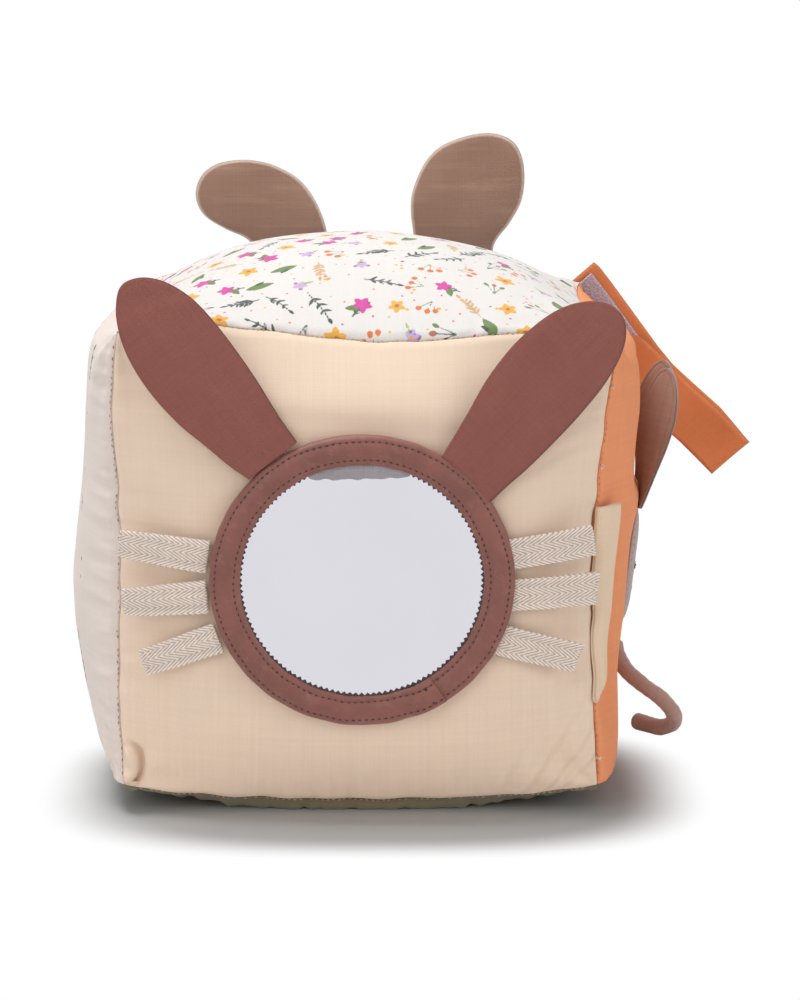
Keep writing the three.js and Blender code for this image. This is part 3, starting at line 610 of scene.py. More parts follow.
ends = [[path[i] + (rows[i] - path[i]) * share + along[i] * step * push
         for share, push in ((0.93, 0.3), (0.6, 0.35), (0.2, 0.2))] for i, step in ((0, -1), (-1, 1))]
verts = np.array(ends[0][::-1] + rows + ends[1])
verts[..., 2] = np.maximum(verts[..., 2], GROUND)
uv = columns(turn[None] * 2.45, way(verts.mean(1))[:, None])
tail = build("tail", verts, tube(len(verts), TAIL_SIDES), uv, fix=True)
suede = cloth("suede", "#bb9286", 0.0004, deep=0.9, blotch=0.16, slub=0.05, rough=0.95, sheen=0.5,
              thread=0.02, crumple=0.06, crumple_scale=260, fuzz=0.12)
dress(tail, suede, stands_for=["tail_cord"])

# panels of the block
REACH = 1 - 0.3 * math.sqrt(0.5) / HW
ROLL, ROLL_WIDTH = 0.9, 2.4
NUDGE = 0.004


def spaced(count):
    t = np.linspace(-1, 1, count)
    return 0.55 * t + 0.45 * np.sin(np.pi / 2 * t)


def seam_folds(seed, pitch, size, near):
    wave = sines(seed, pitch, 6)
    fine = sines(seed + 50, pitch * 0.5, 6)

    def folds(p, d):
        first = (d / near) * np.exp(1 - d / near)
        second = (d / (near * 0.45)) * np.exp(1 - d / (near * 0.45))
        return size * (wave(p) * first + 0.55 * fine(p) * second)
    return folds


def corner_folds(seed, size, span):
    r = np.random.RandomState(seed)
    count, phase = r.randint(7, 11), r.uniform(0, 6)

    def folds(p, q):
        far = np.hypot(p, q)
        return size * np.sin(count * np.arctan2(q, p) + phase) * (far / span) * np.exp(1 - far / span)
    return folds


def panel(name, node, axis, side, count, mat, folds, waves, paint=None, extra=None):
    """One side of the block with its rolled edges. folds holds its seams, low and high, of both shares."""
    g = spaced(count)
    u, v = np.meshgrid(np.r_[g[0], g, g[-1]], np.r_[g[0], g, g[-1]], indexing="ij")
    across, up = (axis + 1) % 3, (axis + 2) % 3
    share = [None] * 3
    share[axis], share[across], share[up] = np.full_like(u, side), u * REACH, v * REACH

    def at(du, dv):
        s = list(share)
        s[across] = np.clip(share[across] + du, -1, 1)
        s[up] = np.clip(share[up] + dv, -1, 1)
        return puffed(*s)

    place = at(0, 0)
    step_u, step_v = at(NUDGE, 0) - at(-NUDGE, 0), at(0, NUDGE) - at(0, -NUDGE)
    normal = unit(np.cross(step_u, step_v) * side)
    half = [HW, HD, HH]
    p, q = u * half[across], v * half[up]
    dl, dr = p + half[across], half[across] - p
    db, dt = q + half[up], half[up] - q
    tu, tv = unit(step_u), unit(step_v)
    lift = waves * blobs(axis * 7 + int(side) + 20, 46)(p, q) * dome(u) * dome(v)
    for d, line, fold in ((dl, q, folds[0]), (dr, q, folds[1]), (db, p, folds[2]), (dt, p, folds[3])):
        lift = lift + seam_folds(*fold)(line, d)
    for k, (px, qx) in enumerate(((dl, db), (dr, db), (dl, dt), (dr, dt))):
        star = corner_folds(axis * 40 + int(side) * 10 + k + 500, 0.55, 14)
        lift = lift + star(px, qx) * np.clip(np.minimum(px, qx) / 4, 0, 1)
    if extra:
        lift = lift + extra(p, q)
    near = np.minimum(np.minimum(dl, dr), np.minimum(db, dt))
    lift = lift * np.clip(near / 1.2, 0, 1)
    # the edge rolls inwards to the seam, and its outermost row is tucked into the block
    sink, move = np.zeros_like(near), np.zeros_like(place)
    for d, tangent in ((dl, tu), (dr, -tu), (db, tv), (dt, -tv)):
        phi = np.clip(1 - d / ROLL_WIDTH, 0, 1) * np.pi / 2
        sink = np.maximum(sink, ROLL * (1 - np.cos(phi)))
        pushed = ROLL_WIDTH - (ROLL_WIDTH - ROLL) * np.sin(phi) - d
        move = move + tangent * np.where(d < ROLL_WIDTH, pushed, 0)[..., None]
    seam = place + unit(HEART - place) * 1.2
    place = place + normal * (lift - sink)[..., None] + move
    for line, first, d in ((0, True, dl), (count + 1, True, dr), (0, False, db), (count + 1, False, dt)):
        w = np.clip(1 - d / ROLL_WIDTH, 0, 1) ** 2
        step = (seam[line] - place[line])[None] if first else (seam[:, line] - place[:, line])[:, None]
        place = place + step * w[..., None]
    rim = np.zeros(near.shape, bool)
    rim[[0, -1]] = rim[:, [0, -1]] = True
    place = np.where(rim[..., None], place + unit(HEART - place) * 2.2, place)
    place[..., 2] = np.maximum(place[..., 2], GROUND)
    floats, colours = paint(p.ravel(), q.ravel()) if paint else (None, None)
    obj = build(name, place, quads(count + 2, count + 2), np.stack([p, q], -1), floats, colours)
    if obj.data.polygons[len(obj.data.polygons) // 2].normal[axis] * side < 0:
        obj.data.flip_normals()
    dress(obj, mat, stands_for=[node])


# print motifs: distance fields of generic leaves, flowers, berries and dots
def line(p, q, ax, ay, bx, by, r):
    dx, dy = bx - ax, by - ay
    h = np.clip(((p - ax) * dx + (q - ay) * dy) / max(1e-9, dx * dx + dy * dy), 0, 1)
    return np.hypot(p - ax - h * dx, q - ay - h * dy) - r


def leaf(p, q, ax, ay, angle, length, width):
    c, s = math.cos(angle), math.sin(angle)
    x, y = (p - ax) * c + (q - ay) * s, -(p - ax) * s + (q - ay) * c
    h = np.clip(x / length, 0, 1)
    w = width * np.sin(np.pi * h ** 0.8) ** 0.8
    return np.where((x < 0) | (x > length), np.hypot(x - h * length, y), np.abs(y) - w)


def disc(p, q, x, y, r):
    return np.hypot(p - x, q - y) - r


INK = {k: linear(v) for k, v in {
    "dark": "#2c4236", "mid": "#5f7f3c", "lime": "#9cae34", "magenta": "#cf2f9a", "mustard": "#e8a92c",
    "orange": "#d96d2c", "beige": "#cfa26e", "lilac": "#bfa6de", "mauve": "#9b6b78",
    "rust": "#b0684e"}.items()}


class Print:
    """The distance to the nearest motif, and its colour, at each point of a panel."""

    def __init__(self, p, q):
        self.p, self.q = p, q
        self.ink = np.full(len(p), 3.0)
        self.tint = np.ones((len(p), 4))

    def add(self, form, values, colour, x, y, reach):
        near = np.nonzero((np.abs(self.p - x) < reach + 3) & (np.abs(self.q - y) < reach + 3))[0]
        d = form(self.p[near], self.q[near], *values)
        win = d < self.ink[near]
        self.ink[near[win]] = d[win]
        self.tint[near[win]] = INK[colour]

    def sprig(self, x, y, angle, size, colour, pairs, seed):
        r = np.random.RandomState(seed)
        c, s = math.cos(angle), math.sin(angle)
        bend = r.uniform(-0.25, 0.25)

        def on_stem(t):
            return x + c * size * t - s * bend * size * t * t, y + s * size * t + c * bend * size * t * t

        pts = [on_stem(t) for t in np.linspace(0, 1, 6)]
        for a, b in zip(pts[:-1], pts[1:]):
            self.add(line, (*a, *b, 0.28), colour, x, y, size * 1.3)
        for k in range(pairs):
            t = 0.2 + 0.75 * k / pairs
            px, py = on_stem(t)
            for sign in (-1, 1):
                an = angle + sign * r.uniform(0.6, 0.95)
                ln = size * r.uniform(0.24, 0.34) * (1.1 - 0.4 * t)
                self.add(leaf, (px, py, an, ln, ln * 0.15), colour, px, py, ln)
        self.add(leaf, (*pts[-1], angle + bend, size * 0.25, size * 0.055), colour, *pts[-1], size * 0.3)

    def bloom(self, x, y, angle, size, colour, heart):
        for k in range(5):
            an = angle + k * 2 * math.pi / 5
            petal = (x + 0.3 * math.cos(an), y + 0.3 * math.sin(an), an, size, size * 0.34)
            self.add(leaf, petal, colour, x, y, size)
        self.add(disc, (x, y, size * 0.26 + 0.02), heart, x, y, size * 0.4)
        self.tint[disc(self.p, self.q, x, y, size * 0.26) < 0] = INK[heart]

    def berries(self, x, y, angle, size, colour, stem, seed):
        r = np.random.RandomState(seed)
        for k in range(3):
            an = angle + (k - 1) * 0.6
            ln = size * r.uniform(0.8, 1.1)
            bx, by = x + ln * math.cos(an), y + ln * math.sin(an)
            self.add(line, (x, y, bx, by, 0.17), stem, x, y, size * 1.2)
            self.add(disc, (bx, by, size * 0.2), colour, bx, by, size)

    def dot(self, x, y, r, colour):
        self.add(disc, (x, y, r), colour, x, y, r + 1)

    def out(self):
        return {"ink": self.ink}, {"tint": self.tint}


MOTIFS = [0, 1, 2, 8, 3, 7, 9, 1, 6, 4, 3, 5, 0, 4, 2, 9, 6, 4]


def motif(pr, kind, x, y, an, size, k, r):
    """One of the top's motifs at a place and an angle; k is its number and r the draws."""
    cx, cy = math.cos(an), math.sin(an)

    def off(d):
        return x - d * cx, y - d * cy

    if kind in (0, 8):
        pr.sprig(*off(4.4), an, 8.6 * size, "dark", 3 + (kind == 8) * 2, k)
    elif kind == 1:
        pr.bloom(*off(-1.5), an, 2.4 * size, "magenta", "magenta")
        pr.sprig(*off(4), an, 5 * size, "dark", 2, k)
        pr.add(leaf, (x, y, an + 2.2, 4.6, 1.1), "mid", x, y, 6)
    elif kind == 2:
        pr.berries(*off(2), an, 4.0 * size, "orange", "mid", k)
        pr.dot(x - 3 * cy, y + 3 * cx, 0.6, "mustard")
    elif kind == 3:
        pr.add(leaf, (*off(4.0), an, 9.0, 1.6), "mid", x, y, 9)
        pr.add(leaf, (*off(2.0), an + 0.5, 5.0, 0.9), "dark", x, y, 9)
        pr.add(line, (*off(4.4), *off(-3.6), 0.16), "dark", x, y, 9)
    elif kind == 4:
        pr.bloom(x, y, an, 2.3 * size, "mustard", "rust")
        pr.dot(*off(-3.4), 0.55, "mustard")
    elif kind == 5:
        pr.sprig(*off(3.6), an, 7.5 * size, "beige", 5, k)
    elif kind == 6:
        pr.bloom(x, y, an, 1.9 * size, "lilac", "mustard")
        pr.berries(*off(2.0), an, 3.4, "mauve", "dark", k)
        pr.sprig(*off(4.5), an, 4.5, "lime", 2, k + 7)
    elif kind == 7:
        for colour in ("orange", "mustard", "magenta", "mustard"):
            pr.dot(x + r.uniform(-3.2, 3.2), y + r.uniform(-3, 3), r.uniform(0.45, 0.85), colour)
    else:
        for lean in (-0.5, 0.0, 0.5):
            ex, ey = x + 4 * math.cos(an + lean), y + 4 * math.sin(an + lean)
            pr.add(line, (*off(2), ex, ey, 0.17), "dark", x, y, 7)
            pr.add(leaf, (ex, ey, an + lean, 2.6, 0.75), "mid" if lean else "rust", ex, ey, 4)
    for j in range(2):
        colour = ("mustard", "orange", "magenta")[(k + j) % 3]
        pr.dot(x + 5.2 * math.cos(an + 1.6 + 3 * j), y + 4.6 * math.sin(an + 1.6 + 3 * j), 0.42, colour)


def top_print(p, q):
    pr = Print(p, q)
    r = np.random.RandomState(42)
    for k, (across, along) in enumerate((a, b) for a in range(-8, 9) for b in range(-8, 9)):
        x = along * 11.6 + (across % 2) * 5.8 + r.uniform(-1.8, 1.8)
        y = across * 10.6 + r.uniform(-1.6, 1.6)
        an = r.uniform(0, 2 * math.pi)
        kind = MOTIFS[(along * 7 + across * 5 + r.randint(0, 3)) % len(MOTIFS)]
        motif(pr, kind, x, y, an, r.uniform(1.1, 1.4), k + 1, r)
    return pr.out()


def left_print(p, q):
    pr = Print(p, q)
    r = np.random.RandomState(5)
    pr.sprig(-41, 9, 1.75, 12, "mauve", 1, 90)
    pr.sprig(-37, -50, 1.7, 18, "dark", 5, 91)
    pr.dot(-47, -5, 0.75, "mauve")
    pr.dot(-46, -10.5, 0.6, "mid")
    spots = ((-12, -24), (-16, 50), (-8, 8), (16, 34), (20, -50), (34, 0), (54, 42), (52, -34), (-44, 50))
    for k, (x, y) in enumerate(spots):
        pr.sprig(x, y, r.uniform(0.8, 2.2), r.uniform(12, 16), "dark" if k % 3 else "mauve", 3 + k % 3,
                 k + 95)
        for j in range(2):
            colour = ("mauve", "mid", "orange")[(k + j) % 3]
            pr.dot(x + r.uniform(-9, 9), y + r.uniform(-9, 9), r.uniform(0.6, 0.9), colour)
    return pr.out()


def printed(t, vec, base):
    edge = t.add(t.attr("ink"), t.muladd(t.noise(vec, 1400.0, 1.0), 0.3, -0.15))
    faded = t.mix(t.mul(t.noise(vec, 420.0), 0.14), t.attr("tint", "Color"), base)
    return t.mix(t.remap(edge, 0.14, -0.14), base, faded)


# puckers of the front's lower edge: their place, lean, depth and height
PUCKERS = ((46, 0.55, 0.55, 13), (55, 0.75, 0.9, 15), (62, 0.95, 0.8, 12), (68, 1.3, 0.6, 8),
           (30, 0.35, 0.35, 9))


def front_creases(z, x):
    """Folds of the front. The panel runs over Z first and X second."""
    far = np.hypot(x + 75.2, z + 62.0)
    arc = np.clip(np.cos(np.arctan2(z + 62.0, x + 75.2) + 0.35), 0, 1) ** 0.5
    bow = -3.4 * bell(far, 7.6, 1.0) * arc + 2.4 * bell(far, 4.8, 1.7) * arc
    puckers = 0
    for at, lean, deep, tall in PUCKERS:
        off = (x - at - lean * (z + 66)) / 1.7
        puckers = puckers - deep * (np.exp(-off ** 2) - 0.5 * np.exp(-(off + 1.7) ** 2)) * bell(z, -62, tall)
    dip = -1.3 * bell(x, 66, 3.6) * bell(z, -18, 27, 4)
    wide = -0.35 * bell(z - 45 + 0.10 * x, 0, 3.0) * bell(x, 5, 40) \
        - 0.45 * bell(z - 30 - 0.5 * (x - 55), 0, 2.4) * bell(x, 60, 10)
    return bow + puckers + dip + wide


def label_dip(y, z):
    """The front edge of the right side falls back behind the label."""
    return -2.6 * bell(y, -65, 7) * np.clip(1 - np.abs((z + 19) / 44) ** 4, 0, 1)


m_peach = cloth("peach_cotton", "#e9d1bb", 0.00042, 0.97, 0.03, 0.022, 0.02, 0.09, 42)
m_print = cloth("print_cotton", "#e0dcd9", 0.0004, 0.97, 0.015, 0.012, 0.035, 0.04, tint=printed)
m_blush = cloth("blush_cotton", "#e2d5cd", 0.0004, 0.93, 0.02, 0.02, 0.035, 0.05, tint=printed)
m_orange = cloth("orange_cotton", "#ee9a6c", 0.0004, 0.92, 0.03, 0.03, 0.035, 0.06, sheen=0.0)
m_olive = cloth("olive_cotton", "#7b7359", 0.0005, 0.8, 0.06, 0.05, 0.05, 0.1)
m_taupe = cloth("taupe_cotton", "#9a7762", 0.0005, 0.82, 0.06, 0.05, 0.05, 0.08)
panel("front", "front_panel", 1, -1, 220, m_peach,
      ((3, 9, 0.45, 6), (4, 12, 0.18, 4), (1, 10, 0.30, 5), (2, 11, 0.25, 5)), 0.25, extra=front_creases)
panel("back", "back_panel", 1, 1, 110, m_taupe,
      ((5, 11, 0.45, 6), (6, 11, 0.45, 6), (7, 10, 0.5, 6), (8, 12, 0.3, 5)), 0.4)
panel("left", "left_panel", 0, -1, 230, m_blush,
      ((12, 10, 0.45, 6), (13, 11, 0.4, 6), (14, 9, 0.5, 6), (15, 12, 0.35, 5)), 0.4, left_print)
panel("right", "right_panel", 0, 1, 120, m_orange,
      ((16, 12, 0.30, 6), (17, 11, 0.4, 6), (18, 9, 0.5, 6), (19, 12, 0.35, 5)), 0.35, extra=label_dip)
panel("top", "top_panel", 2, 1, 300, m_print,
      ((21, 11, 0.35, 5), (22, 11, 0.35, 5), (23, 12, 0.25, 4), (24, 12, 0.4, 5)), 0.4, top_print)
panel("base", "bottom_panel", 2, -1, 120, m_olive,
      ((26, 8, 0.5, 6), (27, 8, 0.5, 6), (28, 7, 0.7, 6), (29, 9, 0.5, 6)), 0.3)


# filling, rattle and film inside
def filling(core=1 - 2.6 / HW, count=40):
    """The stuffing: a smaller block just inside the panels, core being its share of their size."""
    g = spaced(count) * core
    lump = blobs(71, 9)
    a, b = np.meshgrid(g, g, indexing="ij")
    verts, faces, uvs = [], [], []
    for axis in range(3):
        for side in (-1, 1):
            s = [None] * 3
            s[axis], s[(axis + 1) % 3], s[(axis + 2) % 3] = np.full_like(a, side * core), a, b
            place = puffed(*s)
            size = 0.968 + 0.004 * lump(a * HW, b * HW + axis * 90 + side * 30)
            grid = quads(count, count, off=len(verts) * count * count)
            faces += grid if side > 0 else [f[::-1] for f in grid]
            verts.append(HEART + (place - HEART) * size[..., None])
            uvs.append(np.stack([a * HW, b * HW], -1))
    return build("fibre_filling", np.array(verts), faces, np.array(uvs), merge=1e-5)


m_fibre = cloth("white_fibre", "#f4f2ee", 0.0012, 0.9, 0.06, 0.08, crumple=0.5, crumple_scale=240, fuzz=0.4,
                sheen=0.4, source="object")
dress(filling(), m_fibre, stands_for=["filling_lower", "filling_upper"])


def plastic(name, colour, rough):
    t = Surface(name)
    vec, u, v, w = t.uv("object")
    cloud, fine = t.noise(vec, 60.0), t.noise(vec, 900.0, 2.0)
    base = linear(colour)
    col = t.mix(cloud, shade(base, 0.97), base)
    col = t.mix(t.mul(t.stretched(u, w, 900.0, 30.0), 0.25), col, shade(base, 0.93))
    t.bump(t.add(t.mul(fine, 0.02), t.mul(cloud, 0.05)))
    t.set(Base_Color=col, Roughness=t.muladd(fine, 0.12, rough))
    return t.mat


def film(name, colour):
    t = Surface(name)
    crease = t.math("ABSOLUTE", t.sub(t.noise(t.uv("object")[0], 90.0, 4.0, 0.7), 0.5))
    sharp = t.remap(crease, 0.0, 0.08)
    t.bump(t.mul(sharp, 0.3))
    t.set(Base_Color=t.mix(sharp, linear("#b9c2cb"), linear(colour)), Roughness=t.muladd(sharp, -0.15, 0.42))
    return t.mat


def mirror_film():
    t = Surface("mirror_film")
    vec = t.uv("object")[0]
    haze, fine = t.noise(vec, 30.0), t.noise(vec, 700.0, 2.0)
    t.bump(t.add(t.mul(haze, 0.10), t.mul(fine, 0.004)))
    t.set(Base_Color=t.mix(haze, linear("#dfdee5"), linear("#dad9e1")), Roughness=t.muladd(fine, 0.05, 0.10),
          Metallic=1.0)
    return t.mat


def reuse(mat, *nodes):
    """CAD solids that are shown as they are, in a material of the scene."""
    for node in nodes:
        frame["nodes"][node].data.materials.clear()
        frame["nodes"][node].data.materials.append(mat)


reuse(plastic("rattle_plastic", "#e8e6e0", 0.42), "rattle_shell_lower", "rattle_shell_upper")
reuse(plastic("bead_plastic", "#d08050", 0.3), "rattle_bead_1", "rattle_bead_2", "rattle_bead_3")
reuse(cloth("backing_fibre", "#e9e6e0", 0.001, 0.9, fuzz=0.2, source="object"), "mirror_backing")
reuse(mirror_film(), "mirror_disc")

# ring round the mirror: a leather strip sewn into a ring, whose ends overlap below right
FAT_X, FAT_Z = 1.012, 0.977
RING_MIDDLE = 41
START, SWEEP = math.radians(-64), np.radians(368)
LAP_START, LAP_TURN = math.radians(20), math.radians(13)
OUT = np.array([0, -1.0, 0])
ring_height, ring_fine, ring_radial = sines(81, 17, 6), sines(82, 8, 6), sines(83, 30, 5)


def on_ring(theta, r, h):
    """Place at an angle, a radius of the CAD ring and a height over the front."""
    x, z = RING_X + r * FAT_X * np.cos(theta), RING_Z + r * FAT_Z * np.sin(theta)
    return np.stack(np.broadcast_arrays(x, FRONT - h, z), -1)


def lap_at(theta):
    return eased((theta - (START + SWEEP) + LAP_START) / LAP_TURN)


profile = closed_curve([
    (36.0, 3.35), (35.95, 3.7), (36.0, 4.25), (36.25, 4.65), (36.7, 4.9), (37.3, 4.88), (37.7, 4.72),
    (38.15, 4.98), (39.2, 5.3), (40.5, 5.42), (41.7, 5.3), (42.7, 5.0), (43.15, 4.72), (43.55, 4.82),
    (44.2, 4.6), (44.7, 4.1), (45.0, 3.3), (45.05, 2.2), (44.95, 1.2), (44.6, 0.65), (43.8, 0.5),
    (42.0, 0.5), (41.2, 0.9), (40.9, 2.4), (40.4, 3.35), (38.5, 3.4)], 64)
theta = START + np.linspace(0, SWEEP, 420)
arc = ((theta - START) * RING_MIDDLE)[:, None]
upper = np.clip((profile[:, 1] - 3.3) / 1.6, 0, 1)[None]
lap = lap_at(theta)[:, None]
seat = np.where(theta < START + math.radians(10), -0.15, 0)[:, None]
radial = profile[None, :, 0] + 0.30 * ring_radial(arc) * upper + 0.12 * ring_fine(arc)
height = profile[None, :, 1] + upper * (0.22 * ring_height(arc) + 0.14 * ring_fine(arc) + (lap + seat)) \
    + (1 - upper) * (profile[None, :, 1] > 3) * lap * 0.6
ring = build("ring", on_ring(theta[:, None], radial, height), tube(len(theta), len(profile)),
             columns(profile[None, :, 0] + profile[None, :, 1], arc), fix=True)


def leather(name, colour):
    t = Surface(name)
    vec = t.uv()[0]
    base = linear(colour)
    pore = t.node("TexVoronoi", Vector=vec, Scale=1500.0).outputs["Distance"]
    worn = t.noise(vec, 240.0, 4.0, 0.65)
    col = t.mix(t.remap(t.noise(vec, 70.0, 4.0), 0.35, 0.7), shade(base, 0.80), base)
    col = t.mix(t.mul(t.remap(worn, 0.5, 0.8), 0.5), col, linear("#9c695d"))
    col = t.mix(t.remap(pore, 0.25, 0.0), col, shade(base, 0.78))
    t.bump(t.add(t.mul(pore, 0.05), t.mul(t.noise(vec, 160.0, 4.0), 0.35)))
    t.set(Base_Color=col, Roughness=t.muladd(worn, 0.25, 0.42), Sheen_Weight=0.12)
    return t.mat


dress(ring, leather("mauve_leather", "#875146"), stands_for=["mirror_ring"])


def ring_stitches(name, r, pitch, length, radius):
    count = int(2 * math.pi * r / pitch)
    th = START + math.radians(9) + (np.arange(count) + 0.5) * math.radians(359) / count
    a = (th - START) * RING_MIDDLE
    up = 4.76 + 0.22 * ring_height(a) + 0.14 * ring_fine(a) + lap_at(th)
    org = on_ring(th, r + 0.30 * ring_radial(a) + 0.12 * ring_fine(a), up)
    none = np.zeros(count)
    along = np.stack([-np.sin(th) * FAT_X, none, np.cos(th) * FAT_Z], -1)
    along = along + rng.uniform(-0.10, 0.10, count)[:, None] * np.stack([np.cos(th), none, np.sin(th)], -1)
    return scatter(name, stitch_form(length, radius), org, along, OUT, rng.uniform(0.9, 1.1, count))


m_dark_thread = thread_material("dark_thread", "#3d2623")
for name, r in (("ring_stitches_outer", 43.3), ("ring_stitches_inner", 37.65)):
    dress(ring_stitches(name, r, 1.95, 1.3, 0.26), m_dark_thread)

# crossed stitches beside the lap
cross_at = START + SWEEP - math.radians(4.5)
round_it = np.array([-math.sin(cross_at), 0, math.cos(cross_at)])
outwards = np.array([math.cos(cross_at), 0, math.sin(cross_at)])
crosses = [(on_ring(cross_at, r, 6.05), round_it * math.cos(lean) + outwards * math.sin(lean))
           for r in np.linspace(38.3, 42.8, 5) for lean in (0.75, -0.75)]
dress(scatter("ring_cross_stitches", stitch_form(1.9, 0.22), *zip(*crosses), OUT), m_dark_thread)

# pinked backing under the ring's inner edge
TEETH = 128
tt = np.linspace(0, 2 * math.pi, TEETH * 2, endpoint=False)
jag = np.where(np.arange(TEETH * 2) % 2 == 0, 35.1, 35.85) + rng.uniform(-0.10, 0.10, TEETH * 2)
backing = np.stack([on_ring(tt, r, h) + [-0.1, 0, 0.25]
                    for r, h in ((jag, 3.17), (jag, 3.33), (38.6, 3.33), (38.6, 3.17))], 1)
backing = build("pinked_backing", backing, quads(TEETH * 2, 4, wrap_u=True, wrap_v=True),
                columns(np.arange(4)[None] * 3.0, tt[:, None] * 36), smooth=False, fix=True)
dress(backing, cloth("grey_backing", "#5c4a48", deep=0.75, blotch=0.08, fuzz=0.05))

# a grey sheet at the top of the mirror, standing for painted shadow under the ring's upper edge
SHADOW_SHEET_MID, SHADOW_SHEET_HALF, SHADOW_SHEET_COLS = -0.8, 15.0, 61
sx = np.linspace(-1, 1, SHADOW_SHEET_COLS)
tab_x = SHADOW_SHEET_MID + SHADOW_SHEET_HALF * sx
rim_z = RING_Z + np.sqrt((36.6 * FAT_Z) ** 2 - tab_x ** 2)
low_z = rim_z - 1.0 - 4.0 * (1 - sx ** 2) ** 0.8 - 0.3 * sines(83, 4)(sx * 14)
shadow_sheet = [np.stack([RING_X + tab_x, np.full(SHADOW_SHEET_COLS, FRONT + y), rim_z * share + low_z * (1 - share)], -1)
       for share, y in ((0, -3.42), (1, -3.42), (1, -3.36), (0, -3.36))]
shadow_sheet = np.stack(shadow_sheet, 1)
last = 4 * (SHADOW_SHEET_COLS - 1)
faces = quads(SHADOW_SHEET_COLS, 4, wrap_v=True) + [[0, 1, 2, 3], [last + 3, last + 2, last + 1, last]]
shadow_sheet = build("mirror_painted_shadow", shadow_sheet, faces, shadow_sheet[..., [0, 2]], smooth=False, fix=True)
# its grey colour is painted shadow
dress(shadow_sheet, cloth("painted_shadow_sheet", "#a09a9f", 0.0009, 0.93, 0.10, 0.06, crumple=0.3, crumple_scale=300))


# hinged pieces: x runs along the seam, y away from it, and a height over the cloth below
def ring_frame(polar, height):
    c, s = math.cos(math.radians(polar)), math.sin(math.radians(polar))
    origin = np.array([45.1 * c, FRONT - height, RING_Z + 45.1 * s])
    return origin, np.array([s, 0, -c]), np.array([c, 0, s]), OUT


def placer(axes, level, bend):
    o, ax, ay, az = axes

    def place(x, y, h):
        x, y, h = np.broadcast_arrays(x, y, h)
        z = level + h + bend(x, y)
        return o + x[..., None] * ax + y[..., None] * ay + z[..., None] * az
    return place


def rooted(points, count):
    """An outline that is smooth from one end of its straight root to the other."""
    top = open_curve(points, count - 16)
    return np.vstack([top, np.linspace(top[-1], top[0], 18)[1:-1]])


def medial_line(outline, low, high):
    """Each point of a long outline drawn to the form's middle line."""
    ys = np.linspace(0.9, outline[:, 1].max() - 0.9, 60)
    mid = []
    for y in ys:
        near = outline[np.abs(outline[:, 1] - y) < 1.6, 0]
        mid.append((near.min() + near.max()) / 2)
    mid = np.convolve(np.r_[[mid[0]] * 6, mid, [mid[-1]] * 6], np.ones(13) / 13, "valid")
    my = np.clip(outline[:, 1], low, high)
    return np.stack([np.interp(my, ys, mid), my], 1)


def outline_stitches(name, outline, medial, place, inset, pitch, length, radius, height, mat, slot, body,
                     above=-99):
    """Stitches along an outline, inset from it, where y is above a height."""
    away = np.linalg.norm(outline - medial, axis=1)
    inner = outline + (medial - outline) * (inset / away)[:, None]
    closed = np.vstack([inner, inner[:1]])
    s = way(closed)
    count = int(s[-1] / pitch)
    at = (np.arange(count) + 0.5) * s[-1] / count
    here, ahead = sample(at, s, closed), sample((at + 0.4) % s[-1], s, closed)
    keep = here[:, 1] >= above
    (x, y), (x2, y2) = here[keep].T, ahead[keep].T
    org = place(x, y, height)
    obj = scatter(name, stitch_form(length, radius), org, place(x2, y2, height) - org,
                  place(x, y, height + 1) - org)
    dress(obj, mat, body)


def ply(body, part, shape, place, top, bottom, mat, slot, stuffed, **look):
    """One cloth of an ear, in front of or behind the other. shape is its outline and its middle line."""
    name = f"{body}_{part}"
    dress(pad(name, *shape, place, top, bottom, **look), mat, body, [name])


# long ears
EAR_LONG = 67
m_linen = cloth("mauve_linen", "#90584f", deep=0.88, blotch=0.09, slub=0.065, rough=0.95, thread=0.06,
                crumple=0.22, crumple_scale=85, rim=(0.9, 0.86), sheen=0.12, streak=(30.0, 1500.0))
m_linen_back = cloth("mauve_linen_back", "#87534b", deep=0.8, blotch=0.06, slub=0.12, thread=0.08, sheen=0.12)
m_mauve_thread = thread_material("mauve_thread", "#7a4b43")
LONG_EARS = (
    ("left", 127.8, 61, 0.35, [
        (-6.6, -1.1), (-8.5, 4.7), (-10.7, 14.7), (-13.0, 24.9), (-13.9, 38.3), (-12.8, 48.7), (-10.3, 56.5),
        (-6.2, 63.2), (-1.4, 66.9), (3.8, 65.6), (7.9, 61.9), (10.8, 56.9), (12.8, 50.6), (13.6, 42.5),
        (13.7, 33.0), (13.0, 20.5), (11.6, 7.4), (11.2, -1.1)]),
    ("right", 44.2, 62, 0.55, [
        (-9.6, -1.1), (-13.6, 13.3), (-16.8, 24.3), (-18.5, 36.4), (-18.3, 45.5), (-17.0, 53.0),
        (-14.4, 58.9), (-10.6, 63.4), (-6.3, 65.8), (-1.9, 65.6), (2.3, 62.6), (5.6, 57.1), (8.2, 48.4),
        (9.6, 37.2), (10.2, 24.7), (10.3, 14.2), (9.9, 6.0), (9.9, -1.1)]))


